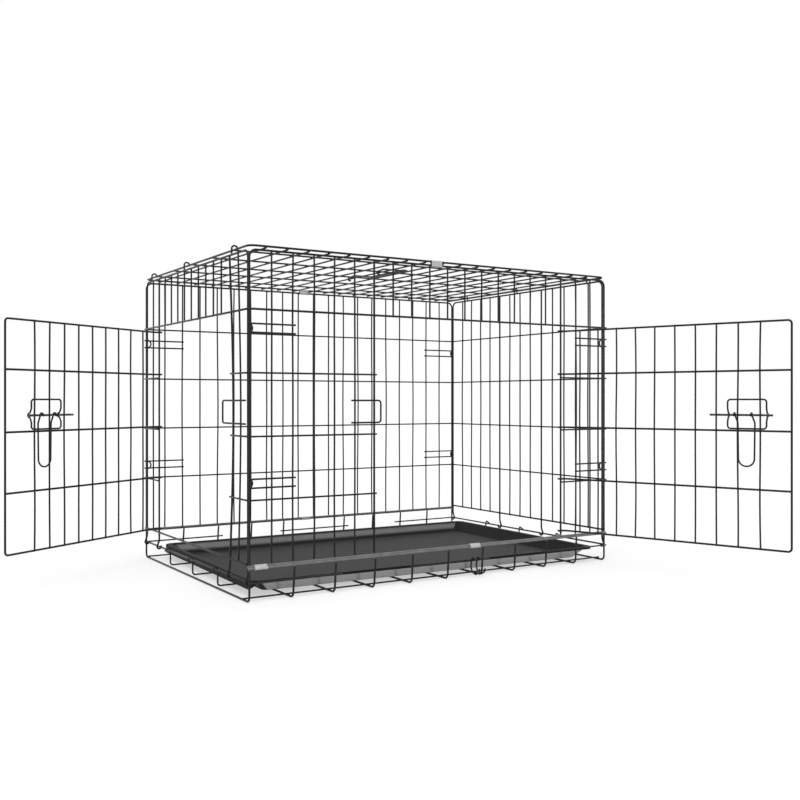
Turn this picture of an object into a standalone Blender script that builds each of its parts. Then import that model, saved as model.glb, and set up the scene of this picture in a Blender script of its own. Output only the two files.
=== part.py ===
# Folding wire pet cage with two doors, a plastic tray and slide-bolt latches.
import math

import bmesh
import bpy
from mathutils import Matrix, Vector

# Overall layout: X right along the long front, Y to the back, Z up, origin under the middle.
PITCH_X = 0.038
COUNT_X = 20
PITCH_Y = 0.0375
COUNT_Y = 14
LENGTH = PITCH_X * COUNT_X
WIDTH = PITCH_Y * COUNT_Y
HALF_X = LENGTH / 2
HALF_Y = WIDTH / 2

# Wire radii: thick frame wire, thin mesh wire, and the base's end rails.
FRAME_R = 0.0020
WIRE_R = 0.0013
END_RAIL_R = 0.0017
FLAT = math.cos(math.pi / 8)

# Two crossing wires are welded: each pair is pressed this far into one another.
WELD_SINK = 0.0004
CROSS = FRAME_R + WIRE_R - WELD_SINK
# Running gap between pieces that touch or turn on one another.
GAP = 0.0004
SEAT = 0.0003

# Heights of the wall panels' rails.
BOTTOM_RAIL = 0.0614
RAIL_STEP = 0.1006
RAILS = [BOTTOM_RAIL + RAIL_STEP * i for i in range(5)]
FIRST_RAIL = RAILS[4]
ROOF = BOTTOM_RAIL + RAIL_STEP * 5
HINGE_DROP = CROSS + WIRE_R + GAP + FRAME_R
WALL_TOP = ROOF - HINGE_DROP
END_TOP = WALL_TOP
STUB = 0.0035
# A wire that ends at a rail is trimmed this far past the rail's axis.
TRIM = 0.0011
CORNER_R = 0.012

# Doorways, counted in pitches: front from the left, left end from the front.
FRONT_DOOR_FROM = 6
FRONT_DOOR_TO = 17
LEFT_DOOR_FROM = 2
LEFT_DOOR_TO = 12

# Short hook wires near each corner of the long panels.
PAIR_UPPER = 0.4338
PAIR_LOWER = 0.1884
PAIR_HEIGHTS = [PAIR_UPPER, PAIR_LOWER]
PAIR_SPLIT = 0.0140
PAIR_PITCHES = 2

# End panels stand just inside the long panels.
END_INSET = 0.0090
END_HALF = HALF_Y - END_INSET
END_PITCH = 2 * END_HALF / COUNT_Y
EYE_WIRES_RIGHT = [5, 9]
STOP_HOOK_R = 0.0075

# Base: floor wires are bent up into the front and back of the base.
ARC_STEPS = 3
FLOOR_Z = FRAME_R * FLAT * math.cos(math.radians(22.5 / ARC_STEPS))
FLOOR_STEP = 2
FLOOR_BEND = 0.008
CROSS_Z = FLOOR_Z + CROSS
BASE_TOP = BOTTOM_RAIL - HINGE_DROP
END_RAIL_Z = 0.0325
MID_RAIL_Z = 0.0315
LOWER_RAIL_INSET = 0.018
FLOOR_RAILS = [3.75, 7.0, 10.25]
MID_RAIL_SPANS = [(-0.08, 4.36), (7.9, 12.4), (15.7, 20.08)]
POST_OFFSET = END_RAIL_R + WIRE_R - WELD_SINK
POST_BEND = 0.005
POST_HOOK_EASE = 0.0006

# Feet of the end panels' long wires, bent round the base's end rails.
END_EYE_R = END_RAIL_R + GAP + FRAME_R
END_EYE_LEAD = 0.0119
END_EYE_FROM = 20
END_EYE_TO = -200

# Roof panel: mesh wires across, five wires along, and hooks that hold the end panels.
ROOF_PHASE = 0.72
ROOF_ALONG = [2, 5, 8, 11, 14]
ROOF_PARTS = 16
CATCH_HOOKS = [1.5, 7.5, 12.5]
CATCH_R = 0.0055
CATCH_OUT = 0.0016
CATCH_UP = 0.0010
CATCH_FOOT = 0.0012
CATCH_SINK = 0.0004
CATCH_TAIL = 0.0085

# Doors, in closed coordinates: s from the hinge, o outwards, z up.
DOOR_OFF = FRAME_R + SEAT + 2 * WIRE_R + SEAT + FRAME_R
DOOR_BOTTOM = 0.0681
DOOR_LOW_RAIL = 0.1682
DOOR_MIDDLE_RAIL = 0.2677
DOOR_HIGH_RAIL = 0.3702
DOOR_TOP = 0.4530
DOOR_MIDDLE_RAILS = [DOOR_LOW_RAIL, DOOR_MIDDLE_RAIL, DOOR_HIGH_RAIL]
DOOR_MESH_OFF = DOOR_OFF - CROSS
DOOR_CORNER_R = 0.006
EYE_R = 2 * FRAME_R + GAP
EYE_LEAD = 0.020
EYE_DIP = 0.009
EYE_SINK = 0.0010
EYE_FROM = 115
EYE_TO = -150
FRONT_DOOR_WIDTH = 11.29 * PITCH_X
FRONT_DOOR_FIRST = 1.035 * PITCH_X
FRONT_DOOR_STEP = 0.9934 * PITCH_X
FRONT_DOOR_WIRES = 10
FRONT_DOOR_OPEN = math.radians(109.06)
LEFT_DOOR_WIDTH = 9.92 * PITCH_Y
LEFT_DOOR_FIRST = 1.15 * PITCH_Y
LEFT_DOOR_STEP = 0.90 * PITCH_Y
LEFT_DOOR_WIRES = 9
LEFT_DOOR_OPEN = math.radians(-57.46)

# Slide-bolt latch, measured back from the doorway's free jamb.
BOLT_R = 0.0019
BOLT_RISE = 0.0268
BOLT_Z = DOOR_MIDDLE_RAIL + BOLT_RISE
BOLT_TIP = 0.0170
BOLT_LENGTH = 0.1120
BOLT_BEND = 0.0035
CRANK_FROM = 0.0170
CRANK_TO = 0.0100
LATCH_BACK_LEFT = 0.0150
BRACKET_NEAR = 0.0300
BRACKET_FAR = 0.0980
BRACKET_LOW = DOOR_MIDDLE_RAIL + FRAME_R + SEAT + WIRE_R
BRACKET_RISE = 0.0535
BRACKET_HIGH = DOOR_MIDDLE_RAIL + BRACKET_RISE
BRACKET_ARCH = 0.0115
BRACKET_CORNER_R = 0.005
HANDLE_NEAR = 0.0520
HANDLE_FAR = 0.0810
HANDLE_DROP = 0.0880
HANDLE_EYE = BOLT_R + GAP + WIRE_R
HANDLE_TURN = 215
HANDLE_LEAD = 0.0020
HANDLE_CORNER_R = 0.0135
BOLT_OFF = DOOR_OFF + FRAME_R + SEAT + BOLT_R
KEEPER_REACH_FRONT = 0.0110
KEEPER_REACH_LEFT = 0.0210
KEEPER_TAIL_FRONT = 0.0464
KEEPER_TAIL_LEFT = 0.0670
KEEPER_LOW_RISE = 0.0145
KEEPER_LOW = DOOR_MIDDLE_RAIL + KEEPER_LOW_RISE
KEEPER_HIGH_RISE = 0.0518
KEEPER_HIGH = DOOR_MIDDLE_RAIL + KEEPER_HIGH_RISE
KEEPER_CORNER_R = 0.005
KEEPER_OFF = FRAME_R + SEAT + WIRE_R
TIP_OFF = KEEPER_OFF - WIRE_R - GAP - BOLT_R

# Plastic tray lying on the floor wires.
TRAY_X = 0.364
TRAY_Y = 0.238
TRAY_BOTTOM = CROSS_Z + WIRE_R + SEAT
TRAY_RIM = 0.0282
TRAY_SHEET = 0.0020
TRAY_END_FLARE = 0.029
TRAY_SIDE_FLARE = 0.024
TRAY_LIP = 0.0060
TRAY_SKIRT = 0.0045
TRAY_CORNER = 0.030
TRAY_FOOT_CORNER = 0.014
TRAY_FOOT_BEVEL = 0.0060
TRAY_FOOT_RISE = 0.0015
TRAY_EDGE = 0.0010

# Carry handle hooked on one cross wire of the roof.
CARRY_WIRE = 8
CARRY_FRONT = 0.1575
CARRY_BACK = 0.2700
CARRY_R = 0.0016
CARRY_EYE = WIRE_R + GAP + CARRY_R
CARRY_SHANK = 0.0100
CARRY_REACH = 0.0560
CARRY_GRIP_X = 0.0062
CARRY_GRIP_Z = 0.0027
CARRY_RISE = CROSS + WIRE_R + SEAT + CARRY_GRIP_Z
CARRY_GRIP_END = 0.0060
CARRY_GRIP_SHAPE = [(1.0, 0.72), (0.83, 0.90), (0.5, 1.0)]

# Wire hooks that hold the tray, on the base's front middle rail.
TRAY_HOOKS = [11.30, 11.62]
TRAY_HOOK_EYE = 2 * WIRE_R + GAP
TRAY_HOOK_DROP = 0.0285
TRAY_HOOK_CURL = 0.0040

# Crimped steel sleeves that hinge the long panels to the base and the roof.
SLEEVE_LENGTH = 0.022
SLEEVE_SHEET = 0.0008
SLEEVE_ROOM = 0.00035
ROOF_SLEEVE_AT = 9.36
BASE_SLEEVES_FRONT = [0.5, 11.55]
BASE_SLEEVE_BACK = 9.5


# Fresh scene

def empty_scene():
    for item in list(bpy.data.objects):
        bpy.data.objects.remove(item)
    for mesh in list(bpy.data.meshes):
        bpy.data.meshes.remove(mesh)
    cage = bpy.data.collections.new("wire_pet_cage")
    bpy.context.scene.collection.children.link(cage)
    return cage


def paint(name, colour, roughness, metallic):
    made = bpy.data.materials.new(name)
    made.use_nodes = True
    shader = made.node_tree.nodes["Principled BSDF"]
    shader.inputs["Base Color"].default_value = (*colour, 1.0)
    shader.inputs["Roughness"].default_value = roughness
    shader.inputs["Metallic"].default_value = metallic
    made.diffuse_color = (*colour, 1.0)
    return made


def wire_black(name):
    return paint(name + "_coat", (0.012, 0.012, 0.013), 0.42, 0.0)


def sleeve_steel(name):
    return paint(name + "_steel", (0.62, 0.62, 0.60), 0.34, 1.0)


def tray_plastic(name):
    return paint(name + "_plastic", (0.020, 0.020, 0.021), 0.50, 0.0)


def grip_plastic(name):
    return paint(name + "_plastic", (0.010, 0.010, 0.011), 0.48, 0.0)


# Paths

def arc(centre, radius, start, end, across, up, steps=ARC_STEPS):
    """Points on a circle from one angle to another, in the plane of two directions."""
    points = []
    for i in range(steps + 1):
        angle = math.radians(start + (end - start) * i / steps)
        points.append(centre + across * (radius * math.cos(angle)) + up * (radius * math.sin(angle)))
    return points


def rounded(points, radius, closed=False, steps=ARC_STEPS):
    """The polyline with each corner replaced by an arc of the given radius."""
    points = [Vector(p) for p in points]
    count = len(points)
    made = []
    for i, corner in enumerate(points):
        if not closed and i in (0, count - 1):
            made.append(corner)
            continue
        before = (points[i - 1] - corner).normalized()
        after = (points[(i + 1) % count] - corner).normalized()
        half = before.angle(after) / 2
        room = radius / math.tan(half)
        middle = (before + after).normalized()
        centre = corner + middle * (radius / math.sin(half))
        first = corner + before * room - centre
        last = corner + after * room - centre
        for k in range(steps + 1):
            made.append(centre + first.slerp(last, k / steps).normalized() * radius)
    return made


# Solids

def tube_mesh(name, wires, tilt=0.0, fineness=2):
    """Closed round tubes along the paths: each wire is points, radius and whether it is a loop."""
    curve = bpy.data.curves.new(name, "CURVE")
    curve.dimensions = "3D"
    curve.bevel_depth = FRAME_R
    curve.bevel_resolution = fineness
    curve.use_fill_caps = True
    curve.twist_mode = "MINIMUM"
    for points, radius, closed in wires:
        spline = curve.splines.new("POLY")
        spline.points.add(len(points) - 1)
        spline.use_cyclic_u = closed
        for target, point in zip(spline.points, points):
            target.co = (*point, 1.0)
            target.radius = radius / FRAME_R
            target.tilt = tilt
    drawn = bpy.data.objects.new(name, curve)
    bpy.context.scene.collection.objects.link(drawn)
    graph = bpy.context.evaluated_depsgraph_get()
    mesh = bpy.data.meshes.new_from_object(drawn.evaluated_get(graph))
    bpy.data.objects.remove(drawn)
    bpy.data.curves.remove(curve)
    mesh.name = name
    return close_seams(mesh)


def close_seams(mesh):
    """Join the caps to the tubes' sides and turn every face outwards."""
    work = bmesh.new()
    work.from_mesh(mesh)
    bmesh.ops.remove_doubles(work, verts=work.verts, dist=0.00001)
    bmesh.ops.recalc_face_normals(work, faces=work.faces)
    work.to_mesh(mesh)
    work.free()
    return mesh


def loft_mesh(name, loops, ring=False):
    """A closed skin through loops of equal length, capped at both ends unless it returns to the first."""
    size = len(loops[0])
    vertices = [tuple(p) for loop in loops for p in loop]
    faces = []
    rows = len(loops) if ring else len(loops) - 1
    for j in range(rows):
        a = j * size
        b = ((j + 1) % len(loops)) * size
        for i in range(size):
            k = (i + 1) % size
            faces.append((a + i, a + k, b + k, b + i))
    if not ring:
        faces.append(tuple(range(size - 1, -1, -1)))
        faces.append(tuple((len(loops) - 1) * size + i for i in range(size)))
    mesh = bpy.data.meshes.new(name)
    mesh.from_pydata(vertices, [], faces)
    return close_seams(mesh)


def united(name, first, others):
    """One closed solid out of overlapping ones."""
    base = bpy.data.objects.new(name, first)
    bpy.context.scene.collection.objects.link(base)
    helpers = bpy.data.collections.new(name + "_joined")
    bpy.context.scene.collection.children.link(helpers)
    for mesh in others:
        helpers.objects.link(bpy.data.objects.new(mesh.name, mesh))
    join = base.modifiers.new("join", "BOOLEAN")
    join.operation = "UNION"
    join.solver = "EXACT"
    join.use_self = True
    join.operand_type = "COLLECTION"
    join.collection = helpers
    graph = bpy.context.evaluated_depsgraph_get()
    mesh = bpy.data.meshes.new_from_object(base.evaluated_get(graph))
    for item in list(helpers.objects):
        bpy.data.objects.remove(item)
    bpy.data.collections.remove(helpers)
    bpy.data.objects.remove(base)
    mesh.name = name
    return mesh


def welded(name, wires, tilt=0.0):
    """Wires that cross or butt into one another, as one solid."""
    thick = [w for w in wires if w[1] == FRAME_R]
    thin = [w for w in wires if w[1] != FRAME_R]
    return united(name, tube_mesh(name, thick, tilt), [tube_mesh(name + "_mesh", thin, 0.0, 1)])


def place(cage, name, mesh, coat, where=(0, 0, 0), turn=0.0, parent=None):
    """Put the mesh in the cage's collection with its own material and its origin on its joint."""
    mesh.name = name
    mesh.materials.clear()
    mesh.materials.append(coat)
    item = bpy.data.objects.new(name, mesh)
    cage.objects.link(item)
    item.parent = parent
    item.location = where
    item.rotation_euler = (0, 0, turn)
    return item


# Long wall panels

def column_x(count):
    return -HALF_X + PITCH_X * count


def long_panel_frame(y, out):
    """Bent frame wire and bottom rail of a long wall."""
    low = BOTTOM_RAIL - TRIM
    frame = [(-HALF_X, y, low), (-HALF_X, y, WALL_TOP), (HALF_X, y, WALL_TOP), (HALF_X, y, low)]
    outer = y + out * CROSS
    bottom = [Vector((-HALF_X - STUB, outer, BOTTOM_RAIL)), Vector((HALF_X + STUB, outer, BOTTOM_RAIL))]
    return [(rounded(frame, CORNER_R), FRAME_R, False), (bottom, FRAME_R, False)]


def upright(x, y, low, high, radius):
    return ([Vector((x, y, low)), Vector((x, y, high))], radius, False)


def long_bar(y, z, first, last, radius):
    start = column_x(first) - STUB
    end = column_x(last) + STUB
    return ([Vector((start, y, z)), Vector((end, y, z))], radius, False)


def corner_pairs(y):
    """Short wires at both ends of a long panel, in two pairs."""
    wires = []
    for height in PAIR_HEIGHTS:
        for z in (height - PAIR_SPLIT / 2, height + PAIR_SPLIT / 2):
            wires.append(long_bar(y, z, 0, PAIR_PITCHES, WIRE_R))
            wires.append(long_bar(y, z, COUNT_X - PAIR_PITCHES, COUNT_X, WIRE_R))
    return wires


def front_panel(cage):
    y = -HALF_Y
    outer = y - CROSS
    low = BOTTOM_RAIL - TRIM
    wires = long_panel_frame(y, -1)
    wires.append(long_bar(outer, FIRST_RAIL, 0, COUNT_X, FRAME_R))
    jamb_top = WALL_TOP - TRIM
    for i in range(1, COUNT_X):
        x = column_x(i)
        if i in (FRONT_DOOR_FROM, FRONT_DOOR_TO):
            wires.append(upright(x, y, low, jamb_top, FRAME_R))
        elif FRONT_DOOR_FROM < i < FRONT_DOOR_TO:
            wires.append(upright(x, y, FIRST_RAIL - TRIM, WALL_TOP, WIRE_R))
        else:
            wires.append(upright(x, y, low, WALL_TOP, WIRE_R))
    for z in RAILS[1:4]:
        wires.append(long_bar(outer, z, 0, FRONT_DOOR_FROM, WIRE_R))
        wires.append(long_bar(outer, z, FRONT_DOOR_TO, COUNT_X, WIRE_R))
    wires += corner_pairs(outer)
    place(cage, "front_panel", welded("front_panel", wires), wire_black("front_panel"))


def back_panel(cage):
    y = HALF_Y
    outer = y + CROSS
    low = BOTTOM_RAIL - TRIM
    wires = long_panel_frame(y, 1)
    for i in range(1, COUNT_X):
        wires.append(upright(column_x(i), y, low, WALL_TOP, WIRE_R))
    for z in RAILS[1:]:
        wires.append(long_bar(outer, z, 0, COUNT_X, WIRE_R))
    wires += corner_pairs(outer)
    place(cage, "back_panel", welded("back_panel", wires), wire_black("back_panel"))


# End wall panels

def column_y(count):
    return -END_HALF + END_PITCH * count


def end_eye(side, y):
    """The foot of an end-panel wire, bent round the base's end rail."""
    axis = Vector((side * HALF_X, y, END_RAIL_Z))
    across = Vector((side, 0, 0))
    up = Vector((0, 0, 1))
    foot = arc(axis, END_EYE_R, END_EYE_FROM, END_EYE_TO, across, up, 8)
    return [axis + up * END_EYE_LEAD] + foot


def stop_hooks(side, y):
    """Half rings on a side wire that bear on the long panel's corner wire."""
    wires = []
    inward = Vector((-side, 0, 0))
    for height in PAIR_HEIGHTS:
        centre = Vector((side * HALF_X, y, height))
        wires.append((arc(centre, STOP_HOOK_R, -90, 90, inward, Vector((0, 0, 1)), 6), WIRE_R, False))
    return wires


def end_panel_wires(side, eyes, door):
    x = side * HALF_X
    outer = x + side * CROSS
    low = BOTTOM_RAIL - TRIM
    near = end_eye(side, -END_HALF)
    far = end_eye(side, END_HALF)
    hoop = rounded([near[0], (x, -END_HALF, END_TOP), (x, END_HALF, END_TOP), far[0]], CORNER_R)
    wires = [(list(reversed(near[1:])) + hoop + far[1:], FRAME_R, False)]
    for i in range(1, COUNT_Y):
        y = column_y(i)
        if i in eyes:
            foot = end_eye(side, y)
            top = Vector((x, y, END_TOP - TRIM))
            wires.append(([top] + foot, FRAME_R, False))
        elif door and LEFT_DOOR_FROM < i < LEFT_DOOR_TO:
            wires.append(([Vector((x, y, FIRST_RAIL - TRIM)), Vector((x, y, END_TOP))], WIRE_R, False))
        else:
            wires.append(([Vector((x, y, low)), Vector((x, y, END_TOP))], WIRE_R, False))
    ends = END_HALF + TRIM
    for z in RAILS:
        heavy = z == BOTTOM_RAIL or (door and z == FIRST_RAIL)
        radius = FRAME_R if heavy else WIRE_R
        if heavy or not door:
            wires.append(([Vector((outer, -ends, z)), Vector((outer, ends, z))], radius, False))
        else:
            near_end = column_y(LEFT_DOOR_FROM) + STUB
            far_end = column_y(LEFT_DOOR_TO) - STUB
            wires.append(([Vector((outer, -ends, z)), Vector((outer, near_end, z))], radius, False))
            wires.append(([Vector((outer, far_end, z)), Vector((outer, ends, z))], radius, False))
    wires += stop_hooks(side, -END_HALF)
    wires += stop_hooks(side, END_HALF)
    return wires


def right_end_panel(cage):
    wires = end_panel_wires(1, EYE_WIRES_RIGHT, False)
    mesh = welded("right_end_panel", wires)
    axis = Vector((HALF_X, 0, END_RAIL_Z))
    mesh.transform(Matrix.Translation(-axis))
    place(cage, "right_end_panel", mesh, wire_black("right_end_panel"), axis)


def left_end_panel(cage):
    wires = end_panel_wires(-1, (LEFT_DOOR_FROM, LEFT_DOOR_TO), True)
    place(cage, "left_end_panel", welded("left_end_panel", wires), wire_black("left_end_panel"))


# Roof panel

def catch_hook(side, y):
    """A hook over the roof's end rail that keeps the end panel from swinging out."""
    across = Vector((side, 0, 0))
    up = Vector((0, 0, 1))
    rail = Vector((side * HALF_X, y, ROOF))
    centre = rail + across * CATCH_OUT + up * CATCH_UP
    points = [rail - across * CATCH_FOOT - up * CATCH_SINK]
    points += arc(centre, CATCH_R, 190, 0, across, up, 7)
    points.append(centre + across * CATCH_R - up * CATCH_TAIL)
    return (points, WIRE_R, False)


def roof_panel(cage):
    rim = [(-HALF_X, -HALF_Y, ROOF), (HALF_X, -HALF_Y, ROOF), (HALF_X, HALF_Y, ROOF), (-HALF_X, HALF_Y, ROOF)]
    wires = [(rounded(rim, CORNER_R, True), FRAME_R, True)]
    for part in ROOF_ALONG:
        y = -HALF_Y + WIDTH * part / ROOF_PARTS
        wires.append(([Vector((-HALF_X, y, ROOF)), Vector((HALF_X, y, ROOF))], WIRE_R, False))
    reach = HALF_Y + STUB
    for i in range(COUNT_X):
        x = column_x(i + ROOF_PHASE)
        ends = [Vector((x, -reach, ROOF - CROSS)), Vector((x, reach, ROOF - CROSS))]
        wires.append((ends, WIRE_R, False))
    for side in (-1, 1):
        for at in CATCH_HOOKS:
            wires.append(catch_hook(side, -HALF_Y + PITCH_Y * at))
    place(cage, "roof_panel", welded("roof_panel", wires), wire_black("roof_panel"))


# Base frame

def floor_hoop(x):
    top = BASE_TOP + TRIM
    path = [(x, -HALF_Y, top), (x, -HALF_Y, FLOOR_Z), (x, HALF_Y, FLOOR_Z), (x, HALF_Y, top)]
    return (rounded(path, FLOOR_BEND), FRAME_R, False)


def turned_up(side, y):
    """End of a lengthwise floor wire, bent up and hooked over the end rail."""
    across = Vector((side, 0, 0))
    up = Vector((0, 0, 1))
    x = side * (HALF_X - POST_OFFSET)
    foot = rounded([(0, y, CROSS_Z), (x, y, CROSS_Z), (x, y, END_RAIL_Z)], POST_BEND)
    rail = Vector((side * HALF_X, y, END_RAIL_Z))
    centre = rail + across * POST_HOOK_EASE + up * (2 * POST_HOOK_EASE)
    return foot[1:] + arc(centre, POST_OFFSET + POST_HOOK_EASE, 180, 10, across, up, 5)


def floor_rail(y):
    left = turned_up(-1, y)
    right = turned_up(1, y)
    return (list(reversed(left)) + right, WIRE_R, False)


def base_frame(cage):
    wires = []
    for i in range(0, COUNT_X + 1, FLOOR_STEP):
        wires.append(floor_hoop(column_x(i)))
    for side in (-1, 1):
        x = side * HALF_X
        ends = [Vector((x, -HALF_Y, END_RAIL_Z)), Vector((x, HALF_Y, END_RAIL_Z))]
        wires.append((ends, END_RAIL_R, False))
        outer = side * (HALF_Y + CROSS)
        wires.append(long_bar(outer, BASE_TOP, 0, COUNT_X, FRAME_R))
        wires.append(long_bar(side * (HALF_Y - LOWER_RAIL_INSET), CROSS_Z, 0, COUNT_X, WIRE_R))
        for first, last in MID_RAIL_SPANS:
            ends = [Vector((column_x(first), outer, MID_RAIL_Z)), Vector((column_x(last), outer, MID_RAIL_Z))]
            wires.append((ends, WIRE_R, False))
    for at in FLOOR_RAILS:
        wires.append(floor_rail(-HALF_Y + PITCH_Y * at))
    mesh = welded("base_frame", wires, math.pi / 8)
    place(cage, "base_frame", mesh, wire_black("base_frame"))


# Doors

def front_closed(s, o, z):
    return Vector((-s, -o, z))


def left_closed(s, o, z):
    return Vector((-o, -s, z))


def door_rail(at, width, z):
    """A door rail from the free edge to its eye round the hinge jamb."""
    start = at(width - DOOR_CORNER_R, DOOR_OFF, z)
    points = [start, at(EYE_LEAD, DOOR_OFF, z), at(EYE_DIP, DOOR_OFF - EYE_SINK, z)]
    along = at(1, 0, 0)
    out = at(0, 1, 0)
    return points + arc(at(0, 0, z), EYE_R, EYE_FROM, EYE_TO, along, out, 8)


def door_wires(at, width, first, step, count):
    """Frame wire with two rails, three middle rails and the mesh wires."""
    top = door_rail(at, width, DOOR_TOP)
    bottom = door_rail(at, width, DOOR_BOTTOM)
    corner_top = at(width, DOOR_OFF, DOOR_TOP)
    corner_bottom = at(width, DOOR_OFF, DOOR_BOTTOM)
    edge = rounded([top[1], corner_top, corner_bottom, bottom[1]], DOOR_CORNER_R)
    wires = [(list(reversed(top[2:])) + edge + bottom[2:], FRAME_R, False)]
    for z in DOOR_MIDDLE_RAILS:
        points = door_rail(at, width, z)
        points[0] = at(width - TRIM, DOOR_OFF, z)
        wires.append((points, FRAME_R, False))
    for i in range(count):
        s = first + step * i
        low = at(s, DOOR_MESH_OFF, DOOR_BOTTOM - TRIM)
        high = at(s, DOOR_MESH_OFF, DOOR_TOP + TRIM)
        wires.append(([low, high], WIRE_R, False))
    return wires


def bolt_mesh(name, at, edge):
    """Round bolt whose tip is cranked in, to slide behind the keeper."""
    tip = edge - BOLT_TIP
    path = [at(tip - BOLT_LENGTH, BOLT_OFF, 0), at(tip - CRANK_FROM, BOLT_OFF, 0),
            at(tip - CRANK_TO, TIP_OFF, 0), at(tip, TIP_OFF, 0)]
    return tube_mesh(name, [(rounded(path, BOLT_BEND), BOLT_R, False)])


def bolt_handle_mesh(name, at, edge):
    """Bent-wire pull with an eye at each end round the bolt."""
    near = edge - HANDLE_NEAR
    far = edge - HANDLE_FAR
    out = at(0, 1, 0)
    up = Vector((0, 0, 1))
    near_eye = arc(at(near, BOLT_OFF, 0), HANDLE_EYE, HANDLE_TURN, 0, out, up, 7)
    far_eye = arc(at(far, BOLT_OFF, 0), HANDLE_EYE, 0, HANDLE_TURN, out, up, 7)
    front = BOLT_OFF + HANDLE_EYE
    loop = rounded([at(near, front, -HANDLE_LEAD), at(near, front, -HANDLE_DROP),
                    at(far, front, -HANDLE_DROP), at(far, front, -HANDLE_LEAD)], HANDLE_CORNER_R)
    path = near_eye + loop + far_eye
    return tube_mesh(name, [(path, WIRE_R, False)], 0.0, 1)


def bracket_mesh(name, at, edge):
    """Wire frame on the door whose two sides arch round the bolt."""
    near = edge - BRACKET_NEAR
    far = edge - BRACKET_FAR
    out = at(0, 1, 0)
    up = Vector((0, 0, 1))
    over = BOLT_Z + BRACKET_ARCH
    under = BOLT_Z - BRACKET_ARCH
    near_arch = arc(at(near, BOLT_OFF, BOLT_Z), HANDLE_EYE, -100, 100, out, up, 6)
    far_arch = arc(at(far, BOLT_OFF, BOLT_Z), HANDLE_EYE, 100, -100, out, up, 6)
    top = rounded([at(near, DOOR_OFF, over), at(near, DOOR_OFF, BRACKET_HIGH),
                   at(far, DOOR_OFF, BRACKET_HIGH), at(far, DOOR_OFF, over)], BRACKET_CORNER_R)
    low = rounded([at(far, DOOR_OFF, under), at(far, DOOR_OFF, BRACKET_LOW),
                   at(near, DOOR_OFF, BRACKET_LOW), at(near, DOOR_OFF, under)], BRACKET_CORNER_R)
    path = near_arch + top + far_arch + low
    return tube_mesh(name, [(path, WIRE_R, True)], 0.0, 1)


def keeper_mesh(name, at, jamb, reach, length):
    """Flat loop on the free jamb; its closed end stands into the doorway."""
    bar = jamb - reach
    tail = jamb + length
    path = [at(tail, KEEPER_OFF, KEEPER_HIGH), at(bar, KEEPER_OFF, KEEPER_HIGH),
            at(bar, KEEPER_OFF, KEEPER_LOW), at(tail, KEEPER_OFF, KEEPER_LOW)]
    return tube_mesh(name, [(rounded(path, KEEPER_CORNER_R), WIRE_R, False)], 0.0, 1)


def latch(cage, side, at, door, edge):
    """Bolt, pull and bracket on a door; edge is where the latch is measured from."""
    shift = at(0, BOLT_OFF, 0)
    slide = bolt_mesh(side + "_bolt", at, edge)
    slide.transform(Matrix.Translation(-shift))
    where = Vector((0, 0, BOLT_Z)) + shift
    bolt = place(cage, side + "_bolt", slide, wire_black(side + "_bolt"), where, 0.0, door)
    pull = bolt_handle_mesh(side + "_bolt_handle", at, edge)
    pull.transform(Matrix.Translation(-shift))
    place(cage, side + "_bolt_handle", pull, wire_black(side + "_bolt_handle"), (0, 0, 0), 0.0, bolt)
    guide = bracket_mesh(side + "_bolt_bracket", at, edge)
    place(cage, side + "_bolt_bracket", guide, wire_black(side + "_bolt_bracket"), (0, 0, 0), 0.0, door)


def front_door(cage):
    hinge = Vector((column_x(FRONT_DOOR_TO), -HALF_Y, 0))
    jamb = PITCH_X * (FRONT_DOOR_TO - FRONT_DOOR_FROM)
    wires = door_wires(front_closed, FRONT_DOOR_WIDTH, FRONT_DOOR_FIRST, FRONT_DOOR_STEP, FRONT_DOOR_WIRES)
    coat = wire_black("front_door")
    door = place(cage, "front_door", welded("front_door", wires), coat, hinge, FRONT_DOOR_OPEN)
    latch(cage, "front", front_closed, door, jamb)
    keeper = keeper_mesh("front_keeper", front_closed, jamb, KEEPER_REACH_FRONT, KEEPER_TAIL_FRONT)
    place(cage, "front_keeper", keeper, wire_black("front_keeper"), hinge)


def left_door(cage):
    hinge = Vector((-HALF_X, column_y(LEFT_DOOR_TO), 0))
    jamb = END_PITCH * (LEFT_DOOR_TO - LEFT_DOOR_FROM)
    wires = door_wires(left_closed, LEFT_DOOR_WIDTH, LEFT_DOOR_FIRST, LEFT_DOOR_STEP, LEFT_DOOR_WIRES)
    coat = wire_black("left_door")
    door = place(cage, "left_door", welded("left_door", wires), coat, hinge, LEFT_DOOR_OPEN)
    latch(cage, "left", left_closed, door, jamb - LATCH_BACK_LEFT)
    keeper = keeper_mesh("left_keeper", left_closed, jamb, KEEPER_REACH_LEFT, KEEPER_TAIL_LEFT)
    place(cage, "left_keeper", keeper, wire_black("left_keeper"), hinge)


# Tray

def tray_loop(in_x, in_y, z, corner):
    """A rectangle with round corners, drawn in from the tray's outline."""
    points = []
    half_x = TRAY_X - in_x
    half_y = TRAY_Y - in_y
    for k, (sx, sy) in enumerate(((1, 1), (-1, 1), (-1, -1), (1, -1))):
        centre = Vector((sx * (half_x - corner), sy * (half_y - corner), z))
        points += arc(centre, corner, 90 * k, 90 * k + 90, Vector((1, 0, 0)), Vector((0, 1, 0)), 5)
    return points


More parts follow.
